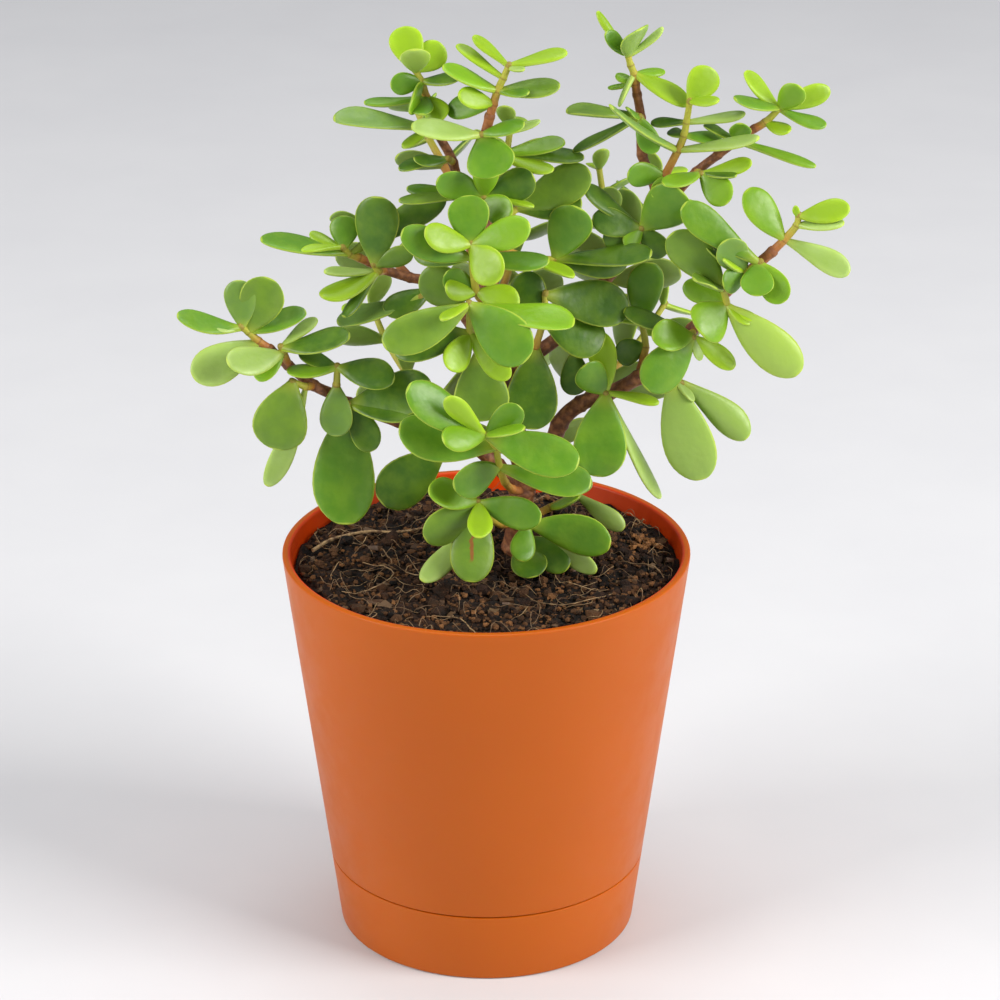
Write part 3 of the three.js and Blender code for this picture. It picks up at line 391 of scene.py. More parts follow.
PAIRED_SHOOTS: dict[str, PairedShoot] = {
    "back_top": PairedShoot(
        ("centre_branch", 4), [(1.5, 10, 97), (4, 16, 103), (5.5, 20, 109), (6.5, 23, 115)],
        length=15, width=9,
    ),
    "back_top_left": PairedShoot(
        ("top_left_branch", 2), [(-11, 11, 108), (-15, 16, 114), (-18, 20, 120)],
        length=14, width=8,
    ),
    "back_middle": PairedShoot(
        ("centre_branch", 3), [(4, 12, 73), (6, 21, 76), (7, 28, 82), (7, 33, 90)],
        length=17, width=10.5,
    ),
    "back_left": PairedShoot(
        ("left_branch", 5), [(-25, 15, 81), (-30, 21, 83), (-33, 26, 87)],
        length=15, width=9,
    ),
    "back_left_low": PairedShoot(
        ("left_low_branch", 3), [(-14, 8, 42), (-21, 17, 47), (-27, 25, 54), (-31, 30, 62)],
        length=21, width=12,
    ),
    "back_low": PairedShoot(
        ("trunk", 3), [(10, 13, 26), (8, 23, 32), (6, 31, 40), (5, 37, 49)],
        length=22, width=13,
    ),
    "back_right_low": PairedShoot(
        ("right_branch", 3), [(30, 11, 47), (37, 19, 51), (43, 26, 56), (48, 31, 62)],
        length=21, width=12,
    ),
    "back_right": PairedShoot(
        ("top_right_branch", 3), [(32, 15, 75), (38, 23, 81), (43, 29, 89), (46, 33, 98)],
        length=20, width=11,
    ),
    "back_top_right": PairedShoot(
        ("top_right_branch", 4), [(33, 15, 84), (32, 21, 89), (31, 26, 95), (30, 30, 101)],
        length=13, width=8,
    ),
}

# Leaves with a healed brown scar along the middle.
SCARRED = ("front_low_leaf_4",)


# ---- small helpers ----


def linear(hex_colour: str) -> Rgb:
    """Turns an sRGB hex colour into linear red, green and blue.

    Args:
        hex_colour: six hex digits

    Returns:
        the linear channels, from 0 to 1
    """
    channels = (int(hex_colour[i : i + 2], 16) / 255 for i in (0, 2, 4))
    return tuple(c / 12.92 if c <= 0.04045 else ((c + 0.055) / 1.055) ** 2.4 for c in channels)


def deselect_all() -> None:
    """Leaves no object selected, so that the next operator touches only what it is given."""
    if bpy.context.object and bpy.context.object.mode != "OBJECT":
        bpy.ops.object.mode_set(mode="OBJECT")
    bpy.ops.object.select_all(action="DESELECT")


def activate(piece: bpy.types.Object) -> None:
    """Selects one piece and makes it the active object."""
    deselect_all()
    piece.select_set(True)
    bpy.context.view_layer.objects.active = piece


def apply_modifier(piece: bpy.types.Object, kind: str, **settings: object) -> None:
    """Adds a modifier and applies it.

    Args:
        piece: the object
        kind: the modifier's type
        settings: its values by name
    """
    activate(piece)
    modifier = piece.modifiers.new(kind.title(), kind)
    for name, value in settings.items():
        setattr(modifier, name, value)
    bpy.ops.object.modifier_apply(modifier=modifier.name)


def shade(piece: bpy.types.Object, angle: float = 40) -> None:
    """Shades a piece smooth where its faces meet at less than the angle in degrees."""
    activate(piece)
    bpy.ops.object.shade_smooth_by_angle(angle=math.radians(angle))


def set_float(mesh: bpy.types.Mesh, name: str, values: Iterable[float]) -> None:
    """Writes one number per vertex as a named attribute."""
    found = mesh.attributes.get(name) or mesh.attributes.new(name, "FLOAT", "POINT")
    found.data.foreach_set("value", np.fromiter(values, np.float32, len(mesh.vertices)))


def set_colour(mesh: bpy.types.Mesh, name: str, colours: np.ndarray) -> None:
    """Writes a linear colour per vertex as a named attribute.

    Args:
        mesh: the mesh
        name: the attribute's name
        colours: one row of red, green and blue per vertex, or a single row for all
    """
    rows = np.ones((len(mesh.vertices), 4), np.float32)
    rows[:, :3] = colours
    found = mesh.attributes.get(name) or mesh.attributes.new(name, "FLOAT_COLOR", "POINT")
    found.data.foreach_set("color", rows.ravel())


def vertices_of(mesh: bpy.types.Mesh) -> np.ndarray:
    """The mesh's vertices as rows of x, y and z."""
    flat = np.empty(len(mesh.vertices) * 3, np.float32)
    mesh.vertices.foreach_get("co", flat)
    return flat.reshape(-1, 3)


def move_vertices(mesh: bpy.types.Mesh, places: np.ndarray) -> None:
    """Puts the mesh's vertices at the given rows of x, y and z."""
    mesh.vertices.foreach_set("co", np.ascontiguousarray(places, np.float32).ravel())
    mesh.update()


def finish_piece(
    piece: bpy.types.Object, name: str, slot: str, finish: bpy.types.Material, *nodes: str
) -> bpy.types.Object:
    """Names a piece, gives it its material, and ties it to the frame.

    Args:
        piece: the finished object, at the origin
        name: its name
        slot: not used
        finish: its material
        nodes: the CAD nodes that it stands for

    Returns:
        the same object
    """
    piece.name = name
    piece.data.name = name
    piece.data.materials.clear()
    piece.data.materials.append(finish)
    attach(piece, "root")
    if nodes:
        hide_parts(*nodes)
    return piece


def joined(pieces: list[bpy.types.Object]) -> bpy.types.Object:
    """Joins pieces into the first one of them.

    Args:
        pieces: objects that are one loose material, such as crumbs or fibres

    Returns:
        the one object that is left
    """
    activate(pieces[0])
    for piece in pieces:
        piece.select_set(True)
    bpy.ops.object.join()
    return pieces[0]


# ---- materials ----


@dataclass(frozen=True)
class Finish:
    """The shader values of one real material.

    Args:
        name: the material's common name
        roughness: how matt it is
        ior: its index of refraction
        specular: how strong its plain reflection is, 0.5 being that of a clean surface
        subsurface: the share of light that goes into it and out again
        radius: how far that light travels in red, green and blue, in millimetres
        coat: the strength of a thin glossy film on it
        coat_roughness: how matt that film is
    """

    name: str
    roughness: float
    ior: float = 1.5
    specular: float = 0.5
    subsurface: float = 0.0
    radius: Rgb = (1.0, 1.0, 1.0)
    coat: float = 0.0
    coat_roughness: float = 0.2


# Polypropylene moulded in a satin-etched tool: a soft broad highlight and a little light inside the wall.
PLASTIC = Finish("Moulded polypropylene", 0.42, ior=1.49, specular=0.3, subsurface=0.2,
                 radius=(4.0, 0.9, 0.15))
# Coir and peat, damp: dark, matt and lumpy.
SOIL = Finish("Damp coir potting mix", 0.92, ior=1.4)
# Dry coconut fibre: tan, faintly shiny along its length.
FIBRE = Finish("Coconut fibre", 0.62, ior=1.5)
# Succulent bark: thin, reddish brown and slightly waxy, green near the shoot's tip.
BARK = Finish("Succulent bark", 0.5, ior=1.45, subsurface=0.08, radius=(1.2, 0.6, 0.25))
# A fleshy leaf under a waxy cuticle: soft sheen, and light that passes through its edges.
CUTICLE = Finish("Waxy leaf cuticle", 0.42, ior=1.42, subsurface=0.16, radius=(1.4, 1.8, 0.3), coat=0.08,
                 coat_roughness=0.3)
# Matt painted board under the planter.
BOARD = Finish("Matt painted board", 0.75)


class Painter:
    """Builds one material's node tree, one node at a time."""

    def __init__(self, finish: Finish) -> None:
        """Starts a material with a Principled shader that has the finish's own values."""
        self.material = bpy.data.materials.new(finish.name)
        self.material.use_nodes = True
        self.tree = self.material.node_tree
        self.shader = self.tree.nodes["Principled BSDF"]
        values = {
            "Roughness": finish.roughness,
            "IOR": finish.ior,
            "Specular IOR Level": finish.specular,
            "Subsurface Weight": finish.subsurface,
            "Subsurface Radius": finish.radius,
            "Subsurface Scale": MM,
            "Coat Weight": finish.coat,
            "Coat Roughness": finish.coat_roughness,
        }
        for name, value in values.items():
            self.shader.inputs[name].default_value = value

    def node(self, kind: str, links: dict[int | str, object] | None = None,
             **settings: object) -> bpy.types.Node:
        """Adds a node.

        Args:
            kind: the node's type, without the ShaderNode in front
            links: a value or another node's output for each input, by index or name
            settings: the node's own properties by name

        Returns:
            the new node
        """
        made = self.tree.nodes.new("ShaderNode" + kind)
        for name, value in settings.items():
            setattr(made, name, value)
        for name, value in (links or {}).items():
            if isinstance(value, bpy.types.NodeSocket):
                self.tree.links.new(value, made.inputs[name])
            else:
                made.inputs[name].default_value = value
        return made

    def place(self) -> bpy.types.NodeSocket:
        """The surface point's own coordinates in metres."""
        return self.node("TexCoord").outputs["Object"]

    def noise(self, size_mm: float, detail: float = 3, roughness: float = 0.55) -> bpy.types.NodeSocket:
        """Noise whose patches are about the given size in millimetres."""
        links = {"Vector": self.place(), "Scale": 1 / (size_mm * MM), "Detail": detail,
                 "Roughness": roughness}
        return self.node("TexNoise", links).outputs["Fac"]

    def attribute(self, name: str, output: str = "Fac") -> bpy.types.NodeSocket:
        """A named attribute of the piece."""
        return self.node("Attribute", attribute_name=name).outputs[output]

    def ramp(self, value: bpy.types.NodeSocket, low: float, high: float, start: float = 0,
             end: float = 1) -> bpy.types.NodeSocket:
        """Turns low to high into start to end, smoothly."""
        links = {"Value": value, "From Min": low, "From Max": high, "To Min": start, "To Max": end}
        return self.node("MapRange", links, interpolation_type="SMOOTHSTEP").outputs["Result"]

    def arithmetic(self, operation: str, *terms: object) -> bpy.types.NodeSocket:
        """The result of one arithmetic operation on numbers or sockets."""
        return self.node("Math", dict(enumerate(terms)), operation=operation).outputs[0]

    def blend(self, share: object, low: object, high: object) -> bpy.types.NodeSocket:
        """Mixes two colours.

        Args:
            share: how much of the second one, as a number or a socket
            low: the first colour, as sRGB hex or a socket
            high: the second colour, as sRGB hex or a socket

        Returns:
            the mixed colour
        """
        ends = [(*linear(end), 1.0) if isinstance(end, str) else end for end in (low, high)]
        links = {"Factor": share, 6: ends[0], 7: ends[1]}
        return self.node("Mix", links, data_type="RGBA").outputs[2]

    def bump(self, height: bpy.types.NodeSocket, depth_mm: float,
             under: bpy.types.NodeSocket | None = None) -> bpy.types.NodeSocket:
        """Bumps the surface by a height map that is depth_mm deep."""
        links: dict[int | str, object] = {"Height": height, "Distance": depth_mm * MM, "Strength": 1.0}
        if under:
            links["Normal"] = under
        return self.node("Bump", links).outputs["Normal"]

    def finish(self, colour: bpy.types.NodeSocket, roughness: bpy.types.NodeSocket | None = None,
               normal: bpy.types.NodeSocket | None = None) -> bpy.types.Material:
        """Links the finished colour, roughness and normal to the shader.

        Returns:
            the material
        """
        for name, socket in (("Base Color", colour), ("Roughness", roughness), ("Normal", normal)):
            if socket:
                self.tree.links.new(socket, self.shader.inputs[name])
        return self.material


def plastic_material() -> bpy.types.Material:
    """Orange polypropylene with the fine etch of its mould, and painted shade inside the pot, where the inner
    wall is coloured redder.
    """
    paint = Painter(PLASTIC)
    clouds = paint.noise(60, detail=1)
    colour = paint.blend(paint.ramp(clouds, 0.3, 0.7), "b25400", "b85800")
    # Painted shade: the inner wall is coloured redder, as it looks in the pot's shade.
    colour = paint.blend(paint.attribute("inside"), colour, "cc3f00")
    etch = paint.noise(0.5, detail=2)
    roughness = paint.ramp(paint.noise(9), 0.3, 0.7, PLASTIC.roughness - 0.05, PLASTIC.roughness + 0.05)
    return paint.finish(colour, roughness, paint.bump(etch, 0.012))


def soil_material() -> bpy.types.Material:
    """Dark crumbly mix: near-black damp hollows, brown grains and a few dry tan specks."""
    paint = Painter(SOIL)
    colour = paint.blend(paint.ramp(paint.noise(6, detail=5), 0.38, 0.68), "0c0705", "2f1b10")
    colour = paint.blend(paint.ramp(paint.noise(1.3, detail=4), 0.52, 0.72, 0, 0.55), colour, "5e3b22")
    colour = paint.blend(paint.attribute("tint"), colour, "96663c")
    grains = paint.bump(paint.noise(0.8, detail=4), 0.5)
    lumps = paint.bump(paint.noise(3.2, detail=5, roughness=0.7), 1.2, under=grains)
    return paint.finish(colour, None, lumps)


def fibre_material() -> bpy.types.Material:
    """Coir fibre and root, each strand with its own tan from its attribute."""
    paint = Painter(FIBRE)
    tan = paint.blend(paint.attribute("tint"), "4a3220", "b3946a")
    colour = paint.blend(paint.ramp(paint.noise(1.5), 0.35, 0.7), tan, "5b4129")
    return paint.finish(colour, None, paint.bump(paint.noise(0.35), 0.05))


def bark_material() -> bpy.types.Material:
    """Reddish brown bark that turns orange and then green towards a young tip, ringed at each node."""
    paint = Painter(BARK)
    age = paint.attribute("youth")
    old = paint.blend(paint.ramp(paint.noise(1.6, detail=4), 0.35, 0.7), "6e422c", "a86e46")
    young = paint.blend(paint.ramp(age, 0.45, 0.8), "bd7434", "aead3a")
    colour = paint.blend(paint.ramp(age, 0.3, 0.62), old, young)
    colour = paint.blend(paint.ramp(paint.attribute("ring"), 0.55, 1, 0, 0.5), colour, "6a3a20")
    flakes = paint.bump(paint.noise(0.9, detail=5), 0.25)
    return paint.finish(colour, paint.ramp(paint.noise(2), 0.3, 0.7, 0.42, 0.6), flakes)


def leaf_material() -> bpy.types.Material:
    """A fleshy leaf: its own tint, a paler underside, a painted yellow-green rim highlight along its edge and
    a finely dotted skin.
    """
    paint = Painter(CUTICLE)
    tint = paint.attribute("tint", "Color")
    edge = paint.attribute("edge")
    along = paint.attribute("along")
    cloudy = paint.blend(paint.ramp(paint.noise(5, detail=3), 0.3, 0.75, 0, 0.3), tint, "93b42c")
    deeper = paint.blend(paint.ramp(edge, 0.75, 0.1, 0, 0.25), cloudy, "41700f")
    under = paint.blend(paint.ramp(paint.attribute("under"), 0.4, 0.6, 0, 0.5), deeper, "a6be68")
    foot = paint.blend(paint.ramp(along, 0.28, 0.02, 0, 0.6), under, "b0bd3c")
    # Painted highlight: a yellow-green line round the leaf's edge and tip, for light scattering through the
    # thin rim.
    colour_with_rim_highlight = paint.blend(paint.ramp(edge, 0.86, 0.97, 0, 0.6), foot, "bacd48")
    waver = paint.ramp(paint.noise(4), 0.3, 0.7, 0.0, 0.07)
    middle = paint.arithmetic("ABSOLUTE", paint.arithmetic("SUBTRACT", paint.attribute("across"), waver))
    line = paint.ramp(middle, 0.05, 0.025)
    length = paint.ramp(paint.arithmetic("SUBTRACT", along, 0.5), 0.28, 0.2)
    scar = paint.arithmetic("MULTIPLY", paint.arithmetic("MULTIPLY", line, length), paint.attribute("scar"))
    colour_with_rim_highlight = paint.blend(scar, colour_with_rim_highlight, "8a5a2a")
    dots = paint.noise(0.45, detail=1)
    swell = paint.bump(paint.noise(4.5, detail=2), 0.3)
    roughness = paint.ramp(paint.noise(3), 0.3, 0.7, 0.34, 0.48)
    return paint.finish(colour_with_rim_highlight, roughness, paint.bump(dots, 0.02, under=swell))


def board_material() -> bpy.types.Material:
    """Pale painted board with a barely visible roller texture."""
    paint = Painter(BOARD)
    colour = paint.blend(paint.noise(60), "d2d3d8", "dadbdf")
    return paint.finish(colour, None, paint.bump(paint.noise(2), 0.02))


# ---- the planter ----


@dataclass
class Planter:
    """The tapered pot and its clip-on tray, turned from their profiles.

    Args:
        wall, floor: thicknesses in metres
        rim_round: radius of the rim's two edges
        seam_round: radius of the edges at the seam and round the tray's foot
        sides: facets round the pot
        drain_holes, drain_radius, drain_circle: the holes through the pot's floor
    """

    wall: float = 2.2 * MM
    floor: float = 2.2 * MM
    rim_round: float = 0.8 * MM
    seam_round: float = 0.45 * MM
    sides: int = 128
    drain_holes: int = 6
    drain_radius: float = 3 * MM
    drain_circle: float = 22 * MM

    def __post_init__(self) -> None:
        """Takes the heights and radii from the frame."""
        _, tray_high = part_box("drip_tray")
        pot_low, pot_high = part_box("pot_shell")
        self.seam_height = tray_high[2]
        self.foot_height = pot_low[2]
        self.height = pot_high[2]
        self.rim_radius = pot_high[0]
        self.tray_radius = tray_high[0]

    def outside(self, height: float) -> float:
        """The outside radius at a height, on the one taper of tray and pot."""
        slope = (self.rim_radius - self.tray_radius) / (self.height - self.seam_height)
        return self.tray_radius + slope * (height - self.seam_height)

    def rounded(self, profile: list[tuple[float, float, float]]) -> list[tuple[float, float]]:
        """Rounds the corners of a profile.

        Args:
            profile: radius, height and corner radius of each point, in order

        Returns:
            radius and height of each point, with an arc of points at each rounded corner
        """
        steps = 4
        out: list[tuple[float, float]] = []
        for i, (radius, height, turn) in enumerate(profile):
            corner = Vector((radius, height))
            if turn == 0 or i in (0, len(profile) - 1):
                out.append((radius, height))
                continue
            before = (Vector(profile[i - 1][:2]) - corner).normalized() * turn
            after = (Vector(profile[i + 1][:2]) - corner).normalized() * turn
            for step in range(steps + 1):
                share = step / steps
                spot = corner + before * (1 - share) ** 2 + after * share**2
                out.append((spot.x, spot.y))
        return out

    def turned(self, profile: list[tuple[float, float]]) -> bpy.types.Object:
        """Turns a profile once round the upright axis.

        Args:
            profile: radius and height of each point, from axis to axis

        Returns:
            the closed shell, facing outwards
        """
        deselect_all()
        first = Vector((profile[0][0], 0, profile[0][1]))
        bpy.ops.mesh.primitive_plane_add(size=MM, location=(0, 0, 0))
        piece = bpy.context.object
        bpy.ops.object.mode_set(mode="EDIT")
        bpy.ops.mesh.select_all(action="SELECT")
        bpy.ops.mesh.merge(type="CENTER")
        bpy.ops.transform.translate(value=first)
        for (radius, height), (last_radius, last_height) in zip(profile[1:], profile[:-1]):
            step = (radius - last_radius, 0, height - last_height)
            bpy.ops.mesh.extrude_vertices_move(TRANSFORM_OT_translate={"value": step})
        bpy.ops.mesh.select_all(action="SELECT")
        bpy.ops.mesh.spin(steps=self.sides, angle=2 * math.pi, center=(0, 0, 0), axis=(0, 0, 1))
        bpy.ops.mesh.select_all(action="SELECT")
        bpy.ops.mesh.remove_doubles(threshold=0.005 * MM)
        bpy.ops.mesh.dissolve_degenerate(threshold=0.001 * MM)
        bpy.ops.mesh.normals_make_consistent(inside=False)
        bpy.ops.object.mode_set(mode="OBJECT")
        return piece

    def drilled(self, pot: bpy.types.Object) -> None:
        """Cuts the drain holes through the pot's floor."""
        plugs = []
        for i in range(self.drain_holes):
            turn = 2 * math.pi * i / self.drain_holes
            spot = (self.drain_circle * math.cos(turn), self.drain_circle * math.sin(turn), self.foot_height)
            deselect_all()
            bpy.ops.mesh.primitive_cylinder_add(
                vertices=24, radius=self.drain_radius, depth=4 * self.floor, location=spot)
            plugs.append(bpy.context.object)
        cutter = joined(plugs)
        apply_modifier(pot, "BOOLEAN", operation="DIFFERENCE", object=cutter, solver="EXACT")
        bpy.data.objects.remove(cutter, do_unlink=True)

    def pot(self) -> bpy.types.Object:
        """The pot: a foot nested in the tray, a shoulder over its rim, a tapered wall and a round lip."""
        foot = self.outside(self.foot_height) - self.wall - 0.5 * MM
        shoulder = self.seam_height + 0.3 * MM
        lip = self.rim_radius - self.wall
        profile = self.rounded([
            (0, self.foot_height, 0),
            (foot, self.foot_height, self.seam_round),
            (foot, shoulder, 0),
            (self.outside(shoulder), shoulder, self.seam_round),
            (self.rim_radius, self.height, self.rim_round),
            (lip, self.height, self.rim_round),
            (self.outside(shoulder + self.floor) - self.wall, shoulder + self.floor, self.seam_round),
            (foot - self.wall, shoulder, 0),
            (foot - self.wall, self.foot_height + self.floor, self.seam_round),
            (0, self.foot_height + self.floor, 0),
        ])
        piece = self.turned(profile)
        self.drilled(piece)
        # Marks the inner wall, which the plastic material colours redder as painted shade.
        inside = [math.hypot(x, y) < self.outside(z) - 0.7 * self.wall and z > shoulder
                  for x, y, z in vertices_of(piece.data)]
        set_float(piece.data, "inside", inside)
        return piece

    def tray(self) -> bpy.types.Object:
        """The tray: a shallow cup whose wall carries on the line of the pot."""
        foot = self.outside(0)
        rim = self.tray_radius
        profile = self.rounded([
            (0, 0, 0),
            (foot, 0, self.seam_round),
            (rim, self.seam_height, self.seam_round),
            (rim - self.wall, self.seam_height, self.seam_round),
            (self.outside(self.floor) - self.wall, self.floor, self.seam_round),
            (0, self.floor, 0),
        ])
        return self.turned(profile)

    def build(self) -> None:
        """Builds both shells and dresses them in plastic."""
        plastic = plastic_material()
        for name, node, piece in (("planter_tray", "drip_tray", self.tray()),
                                  ("planter_pot", "pot_shell", self.pot())):
            shade(piece, 30)
            finish_piece(piece, name, "orange_plastic", plastic, node)
            LOG.info("planter: %s", name)


# ---- stems ----


def smooth_route(points: list[Vector], spacing: float) -> tuple[list[Vector], list[float]]:
    """Fits a smooth route through points.

    Args:
        points: the points, in order
        spacing: about how far apart the route's own points lie

    Returns:
        the route's points, and for each one which given point it is at, as a fraction
    """
    ends = [points[0] * 2 - points[1], *points, points[-1] * 2 - points[-2]]
    route, marks = [], []
    for i in range(1, len(points)):
        a, b, c, d = ends[i - 1 : i + 3]
        steps = max(2, round((c - b).length / spacing))
        for step in range(steps):
            t = step / steps
            bend = 2 * b + (c - a) * t + (2 * a - 5 * b + 4 * c - d) * t**2 + (3 * b - a - 3 * c + d) * t**3
            route.append(bend / 2)
            marks.append(i - 1 + t)
    return [*route, points[-1]], [*marks, float(len(points) - 1)]


def straight_tube(sides: int, spans: int) -> bpy.types.Object:
    """Extrudes a round face upwards, one unit for each span.

    Args:
        sides: facets round the tube
        spans: how many rings follow the first

    Returns:
        the closed tube, a unit in radius
    """
    deselect_all()
    bpy.ops.mesh.primitive_circle_add(vertices=sides, radius=1, fill_type="NGON")
    piece = bpy.context.object
    bpy.ops.object.mode_set(mode="EDIT")
    bpy.ops.mesh.select_all(action="SELECT")
    for _ in range(spans):
        bpy.ops.mesh.extrude_region_move(TRANSFORM_OT_translate={"value": (0, 0, 1)})
    bpy.ops.mesh.select_all(action="SELECT")
    bpy.ops.mesh.normals_make_consistent(inside=False)
    bpy.ops.object.mode_set(mode="OBJECT")
    return piece


@dataclass
class Stem:
    """A round stem along a route, swollen at its nodes and closed by a rounded bud.

    Args:
        points: the route's given points, in metres; each one is a node
        widths: the width at the foot and at the tip
        sides: facets round it
        swelling: how much wider it is at a node
        youth: how young the bark is at the foot and at the tip, from 0 to 1
        bud: how far it carries on past its last point
    """

    points: list[Vector]
    widths: tuple[float, float]
    sides: int = 10
    swelling: float = 0.16
    youth: tuple[float, float] = (0.0, 1.0)
    bud: float = 1.4 * MM

    def build(self) -> bpy.types.Object:
        """Extrudes a ring from point to point along the route.

        Returns:
            the closed stem, with its youth and ring attributes
        """
        onward = (self.points[-1] - self.points[-2]).normalized()
        route, marks = smooth_route(self.points, 0.9 * MM)
        last = len(self.points) - 1
        for share in (0.5, 0.85, 1.0):
            route.append(self.points[-1] + onward * self.bud * share)
            marks.append(float(last))
        bud_widths = {len(route) - 1: 0.25, len(route) - 2: 0.7, len(route) - 3: 0.95}
        radii, rings = [], []
        for i, mark in enumerate(marks):
            ring = max(0.0, 1 - abs(mark - round(mark)) * 7) if 0 < round(mark) else 0.0
            width = self.widths[0] + (self.widths[1] - self.widths[0]) * mark / last
            radii.append(width / 2 * (1 + self.swelling * (ring - 0.35)) * bud_widths.get(i, 1.0))
            rings.append(ring)
        piece = straight_tube(self.sides, len(route) - 1)
        self.follow(piece.data, route, radii)
        set_float(piece.data, "ring", self.per_ring(rings))
        low, high = self.youth
        set_float(piece.data, "youth", self.per_ring([low + (high - low) * mark / last for mark in marks]))
        return piece

    def per_ring(self, values: list[float]) -> list[float]:
        """Repeats one value for each ring over all the vertices of that ring."""
        return [value for value in values for _ in range(self.sides)]

    def follow(self, mesh: bpy.types.Mesh, route: list[Vector], radii: list[float]) -> None:
        """Lays the straight extrusion along the route, each ring square to it.

        Args:
            mesh: the extrusion, one ring for each point of the route
            route: the route's points
            radii: the radius at each of them
        """
        order = np.argsort(vertices_of(mesh)[:, 2], kind="stable").reshape(len(route), self.sides)
        flat = vertices_of(mesh)
        side = (route[1] - route[0]).orthogonal().normalized()
        for i, (point, radius) in enumerate(zip(route, radii)):
            ahead = (route[min(i + 1, len(route) - 1)] - route[max(i - 1, 0)]).normalized()
            side = (side - ahead * side.dot(ahead)).normalized()
            over = ahead.cross(side)
            ring = flat[order[i]]
            flat[order[i]] = (np.array(point) + radius * (ring[:, :1] * np.array(side)
                                                          + ring[:, 1:2] * np.array(over)))
        move_vertices(mesh, flat)


# ---- leaves ----


class LeafForm(Enum):
    """The outline of a leaf: for each share of its length, its width and its thickness."""

    OVAL = (
        (0.0, 0.17, 0.9), (0.09, 0.24, 1.0), (0.22, 0.56, 1.0), (0.4, 0.9, 1.0), (0.6, 1.1, 0.95),
        (0.77, 1.08, 0.85), (0.9, 0.82, 0.7), (0.975, 0.46, 0.5), (1.0, 0.18, 0.3),
    )
    SPATULATE = (
        (0.0, 0.21, 0.9), (0.1, 0.28, 1.0), (0.25, 0.5, 1.0), (0.43, 0.78, 1.0), (0.62, 1.03, 0.95),
        (0.78, 1.1, 0.85), (0.91, 0.86, 0.7), (0.98, 0.48, 0.5), (1.0, 0.18, 0.3),
    )


@dataclass
class LeafMaster:
    """One leaf outline modelled once: a unit long along Y, a unit wide along X, its upper face to +Z.

    Args:
        form: the outline
        sides: facets round each ring before subdivision
    """

    form: LeafForm
    sides: int = 8

    def build(self) -> bpy.types.Mesh:
        """Extrudes a flat ring along the leaf and widens it station by station.

        Returns:
            the closed, subdivided mesh, which each leaf copies
        """
        stations = self.form.value
        deselect_all()
        bpy.ops.mesh.primitive_circle_add(vertices=self.sides, radius=0.5, fill_type="NGON",
                                          rotation=(math.pi / 2, 0, 0))
        bpy.ops.object.transform_apply(rotation=True)
        piece = bpy.context.object
        bpy.ops.object.mode_set(mode="EDIT")
        bpy.ops.mesh.select_all(action="SELECT")
        _, width, thickness = stations[0]
        bpy.ops.transform.resize(value=(width, 1, thickness), center_override=(0, 0, 0))
        for station, last in zip(stations[1:], stations):
            share, width, thickness = station
            last_share, last_width, last_thickness = last
            bpy.ops.mesh.extrude_region_move(TRANSFORM_OT_translate={"value": (0, share - last_share, 0)})
            bpy.ops.transform.resize(value=(width / last_width, 1, thickness / last_thickness),
                                     center_override=(0, share, 0))
        bpy.ops.mesh.select_all(action="SELECT")
        bpy.ops.mesh.normals_make_consistent(inside=False)
        bpy.ops.object.mode_set(mode="OBJECT")
        apply_modifier(piece, "SUBSURF", levels=1, render_levels=1)
        mesh = piece.data
        self.mark(mesh)
        bpy.data.objects.remove(piece, do_unlink=True)
        return mesh

    def mark(self, mesh: bpy.types.Mesh) -> None:
        """Writes how far along, how near the edge and how much on the underside each vertex is."""
        places = vertices_of(mesh)
        x, y, z = places.T
        half = np.array([np.abs(x[np.abs(y - at) < 0.03]).max() for at in y])
        edge = np.clip(np.abs(x) / np.maximum(half, 1e-4), 0, 1) ** 2
        set_float(mesh, "edge", np.maximum(edge, np.clip((y - 0.93) / 0.05, 0, 1)))
        set_float(mesh, "along", y)
        set_float(mesh, "across", x)
        set_float(mesh, "under", np.clip(0.5 - z * 12, 0, 1))


